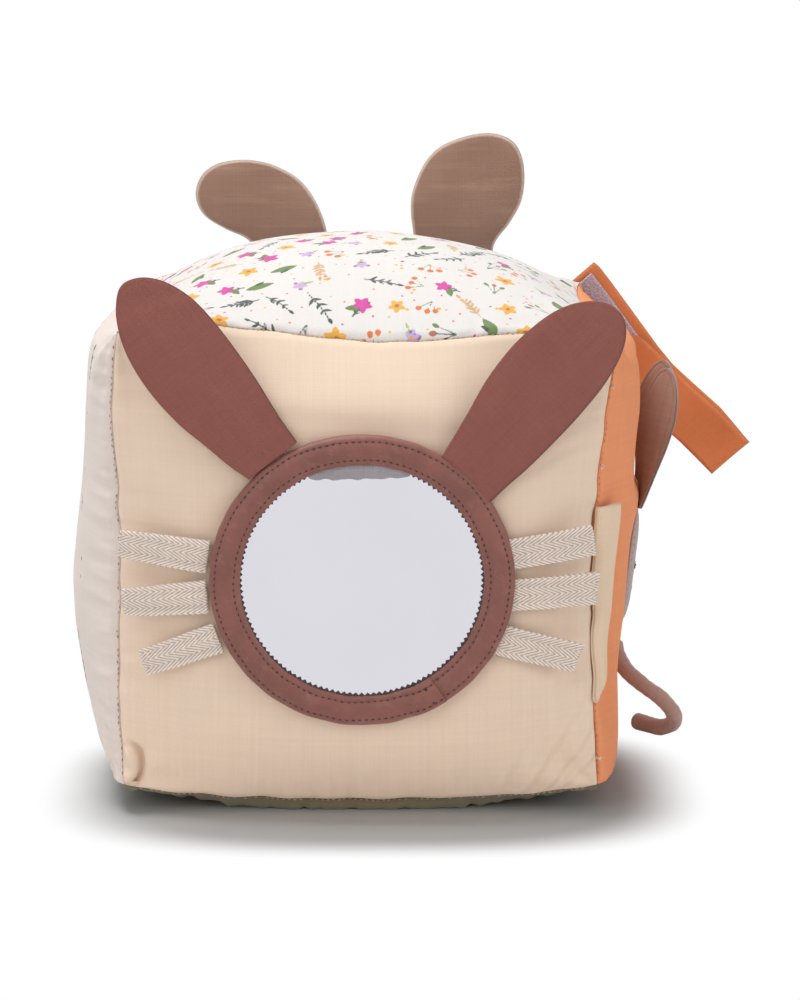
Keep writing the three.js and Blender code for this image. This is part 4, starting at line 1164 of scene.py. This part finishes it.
def long_ear(side, polar, seed, back_shift, points):
    body = "rabbit_ear_" + side
    outline = rooted(points, 260)
    medial = medial_line(outline, 3.0, 53.0)
    wob, cross, fine = blobs(seed, 30), blobs(seed + 9, 17), sines(seed + 3, 9, 6)

    def bend(x, y):
        t = np.clip(y / EAR_LONG, 0, 1)
        return -4.2 * t ** 2 - 0.0055 * x ** 2 * t + 0.5 * wob(x, y) * t

    def wrinkle(x, y):
        return 0.26 * cross(x, y) + 0.24 * fine(y + 0.35 * x) * (0.6 + 0.4 * cross(y, x))

    axes = ring_frame(polar, 4.9)
    front = placer(axes, -1.12, bend)
    ply(body, "front", (outline, medial), front, 0.85, 0.0, m_linen, "mauve_linen", 0.3, edge=0.55,
        depth=0.04, wrinkle=wrinkle, rings=34)
    ply(body, "back", (outline + np.array([back_shift, 0.1]), medial), placer(axes, -1.95, bend), 0.0, 0.75,
        m_linen_back, "mauve_linen", 0.3, wrinkle=wrinkle, rings=30)
    outline_stitches(body + "_seam", outline, medial, front, 0.62, 0.95, 0.5, 0.075, 0.30, m_mauve_thread,
                     "mauve_linen", body, above=2.0)


for values in LONG_EARS:
    long_ear(*values)

# short tapes, folded double: their angle, the middle and width of the root and of the fold, and the length
TAPE_HALF, TAPE_ROWS, TAPE_FOLD = 0.33, 44, 0.4
TAPES = {
    "left_upper": (171.2, 0.2, 10.0, -0.25, 8.0, 26.9), "left_middle": (186.0, -0.2, 10.2, 0.15, 8.0, 25.6),
    "left_lower": (201.5, -0.9, 9.4, -0.3, 8.0, 24.2), "right_upper": (10.0, 0.2, 9.2, 0.7, 9.4, 26.3),
    "right_middle": (-5.7, 0.1, 9.6, -4.3, 10.0, 26.6), "right_lower": (-23.2, 0.0, 9.5, -3.9, 9.0, 25.4),
}
m_tape = cloth("cream_tape", "#f0e0d5", 0.00175, 0.60, 0.05, 0.13, 0.24, 0.10, sheen=0.1, fuzz=0.16,
               gap="#bfa998", herring=True)
bow = np.linspace(-math.pi / 2, math.pi / 2, 9)[1:-1]


def tape(k, key, polar, x0, w0, x1, w1, length):
    body = "whisker_" + key
    o, ax, ay, az = ring_frame(polar, 2.7)
    go = np.linspace(0, length - TAPE_FOLD, TAPE_ROWS)
    y = np.r_[go, length - TAPE_FOLD + TAPE_HALF * np.cos(bow), go[::-1]]
    h = np.r_[np.full(TAPE_ROWS, -0.92), -0.59 + TAPE_HALF * np.sin(bow), np.full(TAPE_ROWS, -0.26)]
    t = np.clip(y / length, 0, 1)
    lift = -3.05 * t ** 2.2 + 0.35 * sines(150 + k, 15, 4)(y) * t + 0.25 * np.sin(t * 9 + k)
    gape = np.where(np.arange(len(y)) > 50, 0.10, 0.0) * np.sin(np.pi * t)
    x = x0 + (x1 - x0) * t
    centre = o + x[:, None] * ax + y[:, None] * ay + (h + lift + gape)[:, None] * az
    half = (w0 + (w1 - w0) * t ** 1.5) / 2
    edge_wave = sines(170 + k, 6, 4)

    def ripple(s, q):
        return 0.16 * np.sin(q * 0.55 + k) * np.clip(s / 10, 0, 1) + 0.10 * edge_wave(s + q * 0.4)

    obj = band(body, centre, np.tile(ax, (len(y), 1)), half, 0.5, ripple)
    dress(obj, m_tape, body, [body])


for k, (key, values) in enumerate(TAPES.items()):
    tape(k, key, *values)

# round ears of the back seam, each outline in shares of their width and height
EAR_WIDE, EAR_HIGH = 40, 50
ROUND_EARS = (
    ("left", -21.0, 91, [
        (0.29, 0), (0.28, 0.2), (0.25, 0.38), (0.16, 0.56), (0.02, 0.7), (-0.18, 0.79), (-0.36, 0.825),
        (-0.52, 0.825), (-0.66, 0.8), (-0.77, 0.74), (-0.83, 0.65), (-0.83, 0.55), (-0.76, 0.45),
        (-0.6, 0.37), (-0.4, 0.29), (-0.31, 0.15), (-0.29, 0)]),
    ("right", 32.0, 92, [
        (0.275, 0), (0.355, 0.25), (0.48, 0.39), (0.575, 0.53), (0.605, 0.68), (0.585, 0.83), (0.51, 0.94),
        (0.355, 0.995), (0.15, 0.985), (-0.09, 0.91), (-0.235, 0.79), (-0.33, 0.61), (-0.345, 0.47),
        (-0.32, 0.3), (-0.275, 0)]))


def ear_base(t, vec, u, v, col):
    """Darker towards the root as painted shade, streaked, and with a pale fuzzy rim that is partly a painted
    highlight of the light from behind.
    """
    streak = t.stretched(u, v, 30.0, 240.0, 3.0, 0.6)
    col = t.mix(t.remap(streak, 0.45, 0.75, 0.0, 0.35), col, linear("#b18f78"))
    # painted shade: the ear darkens towards its root, where it meets the block
    col = t.mix(1.0, col, t.grey(t.remap(v, 0.004, 0.034, 0.70, 1.01)), "MULTIPLY")
    # the pale rim is fuzz and also a painted highlight of the light from behind
    fluff_and_rim_light = t.muladd(t.noise(vec, 1300.0, 3.0, 0.7), 0.0014, -0.0003)
    near = t.remap(t.mul(t.attr("rim"), 0.001), t.add(fluff_and_rim_light, 0.0008), 0.0001)
    return t.mix(t.mul(near, 0.7), col, linear("#d8c0b0"))


m_rear = cloth("rear_ear_cotton", "#987461", deep=0.93, blotch=0.07, slub=0.04, thread=0.05, crumple=0.10,
               crumple_scale=90, fuzz=0.14, sheen=0.5, extra=ear_base)
m_rear_back = cloth("light_taupe_cotton", "#cbb09e", deep=0.84, blotch=0.06, slub=0.08, thread=0.05,
                    fuzz=0.12, sheen=0.5)


def round_ear(side, root_x, seed, shares):
    body = "rear_ear_" + side
    lo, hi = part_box(body + "_front")
    outline = closed_curve([(x * EAR_WIDE, z * EAR_HIGH) for x, z in shares], 220)
    outline[:, 1] = np.maximum(outline[:, 1], 0)
    centre = np.array([(outline[:, 0].min() + outline[:, 0].max()) / 2, outline[:, 1].max() * 0.55])
    core = centre + (outline - centre) * 0.3
    core[:, 0] = centre[0] * np.clip(core[:, 1] / centre[1], 0, 1) + (core[:, 0] - centre[0])
    root = np.array([root_x, hi.y * 1000 + 0.15, lo.z * 1000])
    axes = (root, np.array([1.0, 0, 0]), np.array([0, 0, 1.0]), OUT)
    wob, fine = blobs(seed, 30), blobs(95, 12)

    def bend(x, y):
        t = np.clip(y / EAR_HIGH, 0, 1)
        return 0.9 * wob(x, y) * t - 1.5 * t ** 2 + 0.0015 * x * x * t

    def wrinkle(x, y):
        return 0.22 * fine(x * 0.6, y)

    look = dict(groove=1.2, depth=0.1, soft=5, wrinkle=wrinkle, fill=8)
    ply(body, "front", (outline, core), placer(axes, 0.45, bend), 1.1, 0.0, m_rear, "taupe_cotton", 0.3,
        **look)
    ply(body, "back", (outline * np.array([1.012, 1.008]), core), placer(axes, -0.35, bend), 0.0, 1.3,
        m_rear_back, "light_taupe_cotton", 0.3, **look)


for values in ROUND_EARS:
    round_ear(*values)

# label loop in the front right seam: two layers that meet in a fold, narrower towards the lower end
LABEL_COLS, LABEL_ARM, LABEL_HALF = 48, 12.4, 0.42
lo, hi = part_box("side_label")
z0, z1 = lo.z * 1000, hi.z * 1000
zs = np.linspace(z0, z1, LABEL_COLS)
arm = np.linspace(0, LABEL_ARM, 26)
run = np.r_[arm, LABEL_ARM + LABEL_HALF * np.cos(bow), arm[::-1]]
off = np.r_[np.full(26, -LABEL_HALF), LABEL_HALF * np.sin(bow), np.full(26, LABEL_HALF)]
share = (zs - z0) / (z1 - z0)
angle = np.radians(9 + 27 * share ** 0.9)
dx, dy = np.sin(angle), np.cos(angle)
ones = np.ones(LABEL_COLS)
seam = puffed(ones, -ones, (zs - MIDZ) / HH)
wave = blobs(97, 26)
reach = 0.03 + 0.97 * np.clip(share, 0, 1) ** 0.9
slim = 0.5 + 0.5 * np.clip(share / 0.4, 0, 1)
grid = np.zeros((len(run), LABEL_COLS, 3))
for i in range(len(run)):
    t = run[i] / 12.8
    out_by = run[i] * reach
    puff = off[i] * (1 + 1.4 * math.sin(math.pi * min(t, 1)) * (0.8 + 0.2 * np.cos(share * 3))) * slim
    aside = puff + 0.55 * slim + 0.18 * wave(run[i] * 0.5, zs * 0.4) * t
    x = seam[:, 0] - 1.5 + out_by * dx + aside * dy
    y = seam[:, 1] - 0.2 + out_by * dy + aside * -dx - 0.9 * np.clip(1 - np.abs(out_by - 1.1) / 1.7, 0, 1)
    under = puffed(ones, np.clip(y / HD, -1, 1), (zs - MIDZ) / HH)[:, 0]
    under = under - 2.2 * np.clip(1 - out_by / 1.8, 0, 1)
    grid[i] = np.stack([np.maximum(x, under + 0.35 + off[i]), y, zs + 0.25 * np.sin(run[i] * 0.4)], -1)
length_along = np.r_[0, np.cumsum(np.hypot(np.diff(run), np.diff(off)))]
label = shell("label", grid, 0.36, columns(length_along[:, None], zs[None]), edge=0.5)
m_label = cloth("label_tape", "#ead0b4", 0.0004, 0.93, 0.02, 0.02, 0.03, 0.03, sheen=0.1)
dress(label, m_label, "side_label", ["side_label"])

# crackling film behind the left panel
lo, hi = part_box("crinkle_film")
fy = np.linspace(lo.y * 1000, hi.y * 1000, 60)
fz = np.linspace(lo.z * 1000, hi.z * 1000, 60)
fy, fz = np.meshgrid(fy, fz, indexing="ij")
grid = puffed(-np.ones_like(fy), fy / HD, (fz - MIDZ) / HH)
grid[..., 0] += 1.75 + 0.22 * blobs(211, 9)(fy, fz) + 0.10 * blobs(212, 4)(fy, fz)
crackle = shell("crackling_film", grid, 0.1, np.stack([fy, fz], -1), edge=0.3)
dress(crackle, film("clear_film", "#d8dde2"), stands_for=["crinkle_film"])

# closing strap: folded over at its lower end, so its return lies behind the arm
FOLD = np.array([127.997, 76.0, 86.9])
STRAP_ACROSS, STRAP_ALONG = np.array([0.7536, 0, 0.6574]), np.array([-0.6574, 0, 0.7536])
STRAP_HALF, STRAP_ROWS, STRAP_COLS = 8.5, 110, 27
ROOT_Z = 138.4
MIDDLE = np.array([
    (-2, 0.1), (0, 0), (8, -0.5), (15, -1.0), (22, -1.9), (29.5, -2.8), (36.8, -3.6), (45, -3.4), (51, -2.9),
    (57, -2.4), (63.3, -1.9), (72, -1.2), (82.6, -0.6)]).T


def on_strap(y, aside):
    """Points of the strap's plane, some way up from its fold and aside from its middle line."""
    shift = np.interp(y, *MIDDLE)[:, None] + aside
    return FOLD + shift[..., None] * STRAP_ACROSS + y[:, None, None] * STRAP_ALONG


ls, ts = np.linspace(0, 1, STRAP_ROWS), np.linspace(-1, 1, STRAP_COLS)
arm_y = -0.4 + 70.4 * ls
lowered = 3.4 * np.clip((ls - 0.55) / 0.25, 0, 1) ** 2
straight = on_strap(arm_y, STRAP_HALF * ts[None] - lowered[:, None])
straight[..., 1] = 74.8
root_z = ROOT_Z + STRAP_HALF * ts
root_seam = puffed(np.ones(STRAP_COLS), np.ones(STRAP_COLS), (root_z - MIDZ) / HH)
root_line = np.stack([root_seam[:, 0] + 0.6, root_seam[:, 1] - 0.1, root_z], -1)
w = eased((ls - 0.80) / 0.20)[:, None]
grid = straight * (1 - w)[..., None] + root_line[None] * w[..., None]
bulge = 2.6 * bell(arm_y, 61, 6.5)[:, None] * (0.55 + 0.45 * ts[None]) \
    + 0.5 * blobs(111, 34)(arm_y[:, None], STRAP_HALF * ts[None]) * (1 - w)
grid[..., 1] -= bulge * (1 - np.clip(1 - arm_y / 6, 0, 1)[:, None])
grid[..., 1] -= 0.5 * (ts[None] ** 2) * (1 - w)
lip = np.clip((ls - 0.72) / 0.16, 0, 1)[:, None] * np.clip((ts[None] - 0.25) / 0.75, 0, 1)
grid[..., 1] -= 3.2 * np.sin(lip * 2.2)
grid[..., 2] -= 3.4 * lip ** 2
strap = shell("strap_arm_cloth", grid, 1.5, columns(STRAP_HALF * ts[None], arm_y[:, None]), edge=0.9)
m_strap = cloth("strap_cotton", "#dd8353", 0.0004, deep=0.90, blotch=0.06, slub=0.03, crumple=0.14,
                crumple_scale=90, thread=0.035, sheen=0.0, rim=(0.8, 0.88))
dress(strap, m_strap, "strap_arm", ["strap_arm"])
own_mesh(strap)

lo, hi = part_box("strap_return")
return_y = hi.y * 1000 - 0.9
back_y = np.linspace(-0.4, 81.4, STRAP_ROWS)
half = 8.4 * ts[None] * (1 - 0.10 * np.clip((back_y - 78) / 4, 0, 1) ** 2)[:, None]
grid = on_strap(back_y, half + 1.1 * np.clip(back_y / 14, 0, 1)[:, None])
fold = np.clip(1 - back_y / 4.0, 0, 1)[:, None]
grid[..., 1] = return_y - (return_y - 76.8) * (fold ** 2)
grid[..., 1] += 0.35 * blobs(113, 30)(back_y[:, None], STRAP_HALF * ts[None]) * (1 - fold)
grid[..., 1] -= 1.6 * np.clip((back_y - 70) / 12, 0, 1)[:, None] ** 2
strap_back = shell("strap_return_cloth", grid, 1.5, columns(STRAP_HALF * ts[None], back_y[:, None] + 90),
                   edge=0.9)
dress(strap_back, m_strap, "strap_return", ["strap_return"])


def hook_cloth(name, colour, cell_scale, row_depth):
    t = Surface(name)
    vec, u, v, w = t.uv()
    base = linear(colour)
    cells = t.node("TexVoronoi", Vector=vec, Scale=cell_scale).outputs["Distance"]
    share = t.muladd(t.noise(vec, 2200.0, 3.0, 0.7), 0.6, t.mul(cells, 0.4))
    col = t.mix(t.remap(t.attr("rim"), 0.5, 1.0), shade(base, 0.85), t.mix(share, shade(base, 0.66), base))
    t.bump(t.add(t.mul(cells, 0.35), t.mul(t.ridges(v, math.pi / 0.0013), row_depth)))
    t.set(Base_Color=col, Roughness=0.8, Sheen_Weight=0.3)
    return t.mat


def patch(node, y_lo, y_hi, body, curl, cell_scale, row_depth):
    """A patch of hook or loop tape on the strap. curl is how far its end turns in."""
    name = node + "_cloth"
    lo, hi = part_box(node)
    yy, across = np.linspace(y_lo, y_hi, 60), np.linspace(-1, 1, 24)[None]
    grid = on_strap(yy, 6.1 * across)
    turned = curl * np.clip((yy - 70) / 12, 0, 1) ** 2
    grid[..., 1] = (lo.y + hi.y) * 500 + turned[:, None] + 0.05 * blobs(117, 3)(yy[:, None], 6 * across)
    obj = shell(name, grid, 0.85, columns(6.1 * across, yy[:, None]), edge=0.4)
    dress(obj, hook_cloth(name + "_cloth", "#c9b0ba", cell_scale, row_depth), body, [node])


patch("hook_patch", 49.8, 79.4, "strap_return", -1.3, 1400.0, 0.12)
patch("loop_patch", 36.2, 52.0, "strap_arm", 0.0, 900.0, 0.04)

# mouse on the right side
HEAD_AT, BODY_AT = (-10.0, 67.0), (25.0, 52.6)


def on_right(y, z, h, e=0.02):
    """Place on the right side at a height over it."""
    y, z, h = np.broadcast_arrays(y, z, h)
    b, c, a = y / HD, (z - MIDZ) / HH, np.ones(y.shape)
    n = unit(np.cross(puffed(a, b + e, c) - puffed(a, b - e, c), puffed(a, b, c + e) - puffed(a, b, c - e)))
    return puffed(a, b, c) + n * h[..., None]


def on_head(x, y, h):
    return on_right(HEAD_AT[0] + x, HEAD_AT[1] + y, h)


def on_body(x, y, h):
    return on_right(BODY_AT[0] + x, BODY_AT[1] + y, h)


def rounded(width, height, power, count):
    a = 2 * np.pi * np.arange(count) / count
    c, s = np.cos(a), np.sin(a)
    r = (np.abs(c) ** power + np.abs(s) ** power) ** (-1 / power)
    return np.stack([r * c * width / 2, r * s * height / 2], 1)


def off_head(x, y):
    """A point of the body's outline, pushed out of the head's."""
    gx, gy = x + BODY_AT[0] - HEAD_AT[0], y + BODY_AT[1] - HEAD_AT[1]
    r = (abs(gx / 18.6) ** 3 + abs(gy / 18.6) ** 3) ** (1 / 3)
    return (x, y) if r >= 1 else (gx / r + HEAD_AT[0] - BODY_AT[0], gy / r + HEAD_AT[1] - BODY_AT[1])


m_felt = cloth("grey_felt", "#b39d99", 0.0006, 0.9, 0.08, 0.05, 0.02, 0.08, fuzz=0.25, sheen=0.5)
head = rounded(36, 36, 3, 200)
torso = np.array([off_head(x, y) for x, y in rounded(41.4, 33.4, 2, 240)])
belly = np.array([5.0, -0.5])
mouse_parts = (("mouse_head", (head, head * 0.25), on_head, 2.0, 121, 0.75),
               ("mouse_body", (torso, belly + (torso - belly) * 0.3), on_body, 1.0, 122, 0.55))
for name, shape, place, top, seed, height in mouse_parts:
    lumps = blobs(seed, 11)
    felt = pad(name + "_felt", *shape, place, top, 0.0, lambda x, y: 0.10 * lumps(x, y), edge=0.8, groove=1.6,
               depth=0.25, soft=4.5, fill=8)
    dress(felt, m_felt, "block", [name])
m_grey_thread = thread_material("grey_thread", "#6f5f5d")
for name, shape, place, top, seed, height in mouse_parts:
    outline_stitches(name + "_seam", *shape, place, 1.6, 2.2, 1.5, 0.16, height, m_grey_thread, "grey_felt",
                     "block")

# sewn face of the mouse: closed eyes, a nose and a mouth in thread
ARCS = ((-7.0, 2.5, 3.0, 200, 340), (7.0, 2.5, 3.0, 200, 340), (-1.8, -6.0, 1.9, 190, 350),
        (1.8, -6.0, 1.9, 190, 350))
FACE_HEIGHT = 2.45
face = []
for cy, cz, r, a0, a1 in ARCS:
    count = max(4, int(r * math.radians(a1 - a0) / 1.25))
    for k in range(count):
        a = math.radians(a0 + (a1 - a0) * (k + 0.5) / count)
        face.append((cy + r * math.cos(a), cz + r * math.sin(a), -math.sin(a), math.cos(a)))
face = np.array(face + [(-1.5 + k, -3.2, 0.2, 1.0) for k in range(4)])
org = on_head(face[:, 0], face[:, 1], FACE_HEIGHT)
tip = on_head(face[:, 0] + 0.3 * face[:, 2], face[:, 1] + 0.3 * face[:, 3], FACE_HEIGHT)
over = on_head(face[:, 0], face[:, 1], FACE_HEIGHT + 1)
dress(scatter("mouse_face_stitches", stitch_form(1.5, 0.26), org, tip - org, over - org),
      thread_material("face_thread", "#4a3431"))

# ears of the mouse, their outline in shares of their height and half width
MOUSE_EAR_LONG, MOUSE_EAR_HALF = 45.2, 8.3
EAR_SHARES = ((0, 0.36), (0.14, 0.54), (0.3, 0.78), (0.48, 0.97), (0.64, 1), (0.79, 0.87), (0.9, 0.62),
              (0.97, 0.33))
one_side = [(w * MOUSE_EAR_HALF, s * MOUSE_EAR_LONG) for s, w in EAR_SHARES]
ear = rooted(one_side + [(0, MOUSE_EAR_LONG)] + [(-x, y) for x, y in one_side[::-1]], 200)
ear = (ear, medial_line(ear, 3.0, 38.0))
yaw, lean = math.radians(20), math.radians(10.5)
across = np.array([-math.sin(yaw), math.cos(yaw), 0])
outwards = np.array([math.cos(yaw), math.sin(yaw), 0])
upwards = np.array([0, 0, 1.0]) * math.cos(lean) + outwards * math.sin(lean)
facing = np.cross(across, upwards)


def mouse_rim(t, vec, u, v, col):
    """The outer cloth shows round the inner one, with a dark line between them."""
    side = t.remap(u, 0.0028, -0.0010)
    near = t.mul(t.remap(t.attr("rim"), 1.15, 0.9), side)
    seam = t.mul(t.remap(t.attr("rim"), 0.85, 1.05), t.remap(t.attr("rim"), 1.5, 1.15))
    col = t.mix(t.mul(t.mul(seam, side), 0.75), col, linear("#3c241f"))
    return t.mix(near, col, linear("#b39d99"))


m_inner = cloth("mouse_ear_linen", "#a68374", deep=0.84, blotch=0.06, slub=0.10, thread=0.09, extra=mouse_rim)


def mouse_ear(body, seed):
    axes = (np.array(joints[body]["pos_m"]) * 1000, across, upwards, facing)
    wob, fine = blobs(seed, 26), blobs(seed + 5, 13)

    def bend(x, y):
        t = np.clip(y / 48, 0, 1)
        return 0.5 * wob(x, y) * t - 0.2 * np.sin(np.pi * t) - 1.3 * np.exp(-t / 0.12) \
            + x * (0.26 - 0.55 * np.clip(t * 1.6, 0, 1))

    def wrinkle(x, y):
        return 0.12 * fine(x, y)

    look = dict(edge=0.45, groove=1.4, depth=0.2, wrinkle=wrinkle, rings=24)
    ply(body, "outer", ear, placer(axes, 0.35, bend), 0.75, 0.0, m_felt, "grey_felt", 0.25, **look)
    ply(body, "inner", ear, placer(axes, -0.35, bend), 0.0, 0.75, m_inner, "mauve_linen", 0.25, **look)


mouse_ear("mouse_ear_near", 131)
mouse_ear("mouse_ear_far", 132)


# threads in the seams
def seam_threads(name, points, normal, pitch, length, radius, mat, jitter, share, seed):
    r = np.random.RandomState(seed)
    s = way(points)
    at = np.arange(pitch, s[-1] - pitch, pitch)
    at = at[r.uniform(size=len(at)) < share]
    org = sample(at, s, points)
    along = unit(sample(at + 0.5, s, points) - org)
    org = org + r.uniform(-jitter, jitter, org.shape)
    along = along + r.uniform(-0.4, 0.4, along.shape)
    dress(scatter(name, stitch_form(length, radius), org, along, normal, r.uniform(0.7, 1.2, len(at))), mat)


edge_c, ones = np.linspace(-0.96, 0.96, 200), np.ones(200)
m_tan = thread_material("tan_thread", "#b08a68")
m_peach_thread = thread_material("peach_thread", "#d9b795")
m_rust = thread_material("rust_thread", "#a5603f")
m_white_thread = thread_material("white_thread", "#f3efe8", dark=0.85)
seam_threads("seam_threads_left", puffed(-ones, -ones, edge_c) + [0.35, 0.35, 0], [-0.7, -0.7, 0], 1.9, 0.95,
             0.17, m_tan, 0.18, 0.85, 1)
seam_threads("seam_threads_right", puffed(ones, -ones, edge_c) + [-0.35, 0.35, 0], [0.7, -0.7, 0], 1.9, 0.9,
             0.09, m_rust, 0.10, 0.8, 2)
tufts = np.repeat(puffed(np.ones(3), -np.ones(3), np.array([0.75, 0.40, -0.87])), 5, axis=0)
tufts = tufts + rng.uniform(-0.6, 0.6, (15, 3)) + [0.1, -0.2, 0]
dress(scatter("white_thread_ends", stitch_form(1.2, 0.12), tufts, unit(rng.uniform(-1, 1, (15, 3))),
              [0.4, -0.9, 0]),
      m_white_thread)
seam_threads("seam_threads_top", puffed(edge_c, -ones, ones) + [0, 0.6, -0.8], [0, -0.7, 0.7], 1.5, 1.0, 0.17,
             m_peach_thread, 0.16, 0.9, 3)
seam_threads("seam_threads_base", puffed(edge_c, -ones, -ones) + [0, 0.7, 0.7], [0, -0.7, -0.7], 1.7, 1.0,
             0.15, m_peach_thread, 0.14, 0.8, 4)

# floor, lights and world
FLOOR_SEEN, FLOOR_GREY = 0.42, 0.8
SHADOW_X, SHADOW_Y = (-0.005, 0.106), (0.040, 0.088)


def wide_floor():
    """A floor that holds the shadow near the block, deepened there by painted shade (a darker grey that only
    the camera sees), and is white farther out and in reflections.
    """
    corners = np.array([(-3000, -3000, 0), (3000, -3000, 0), (3000, 4000, 0), (-3000, 4000, 0)], float)
    obj = build("floor", corners - [0, 0, 0.05], [[0, 1, 2, 3]], corners[:, :2], smooth=False)
    mat = bpy.data.materials.new("floor")
    t = Tree(mat)
    rays = t.node("LightPath").outputs
    # painted shade: the camera sees the floor darker (FLOOR_SEEN) than other rays do, which deepens the
    # shadow near the block
    colour = t.grey(t.muladd(rays["Is Camera Ray"], FLOOR_SEEN - FLOOR_GREY, FLOOR_GREY))
    vec, x, y, z = t.uv("object")
    # how far a place of the floor is from the block, 1 on a rounded box round it
    cubes = [t.math("POWER", t.mul(t.math("ABSOLUTE", t.add(at, shift)), 1 / half), 3.0)
             for at, (shift, half) in ((x, SHADOW_X), (y, SHADOW_Y))]
    away = t.math("POWER", t.add(*cubes), 1 / 3)
    far = t.mul(t.remap(away, 0.72, 1.0), rays["Is Camera Ray"])
    plain = t.math("MAXIMUM", far, t.math("MAXIMUM", rays["Is Glossy Ray"], rays["Is Transmission Ray"]))
    diffuse = t.node("BsdfDiffuse", Color=colour)
    white = t.node("Emission", Color=(1, 1, 1, 1), Strength=1.0)
    t.node("OutputMaterial", t.node("MixShader", plain, diffuse.outputs[0], white.outputs[0]).outputs[0])
    obj.data.materials.append(mat)


def lamp(name, at, aim, size, power):
    data = bpy.data.lights.new(name, "AREA")
    data.shape = "RECTANGLE"
    data.size = data.size_y = size
    data.energy = power
    obj = bpy.data.objects.new(name, data)
    obj.location = at
    obj.rotation_euler = (Vector(aim) - Vector(at)).to_track_quat("-Z", "Y").to_euler()
    bpy.context.scene.collection.objects.link(obj)


wide_floor()
lamp("key", (-0.25, 0.02, 1.2), (0, -0.02, 0.08), 0.6, 9.6)
lamp("fill", (-0.6, -1.2, 0.75), (0, 0, 0.09), 0.9, 4.5)
lamp("side", (1.15, -0.75, 0.45), (0.05, 0, 0.08), 0.6, 3.2)

# the world lights the block at a plain level, and is white where it is seen
WORLD_LEVEL = 0.46
world = bpy.data.worlds.new("world")
bpy.context.scene.world = world
t = Tree(world)
rays = t.node("LightPath").outputs
seen = t.math("MAXIMUM", rays["Is Camera Ray"], rays["Is Glossy Ray"])
seen = t.math("MAXIMUM", seen, rays["Is Transmission Ray"])
level = t.remap(seen, 0.0, 1.0, WORLD_LEVEL, 1.0, smooth=False)
t.node("OutputWorld", t.node("Background", Color=(1, 1, 1, 1), Strength=level).outputs[0])
bpy.context.scene.view_settings.view_transform = "Standard"
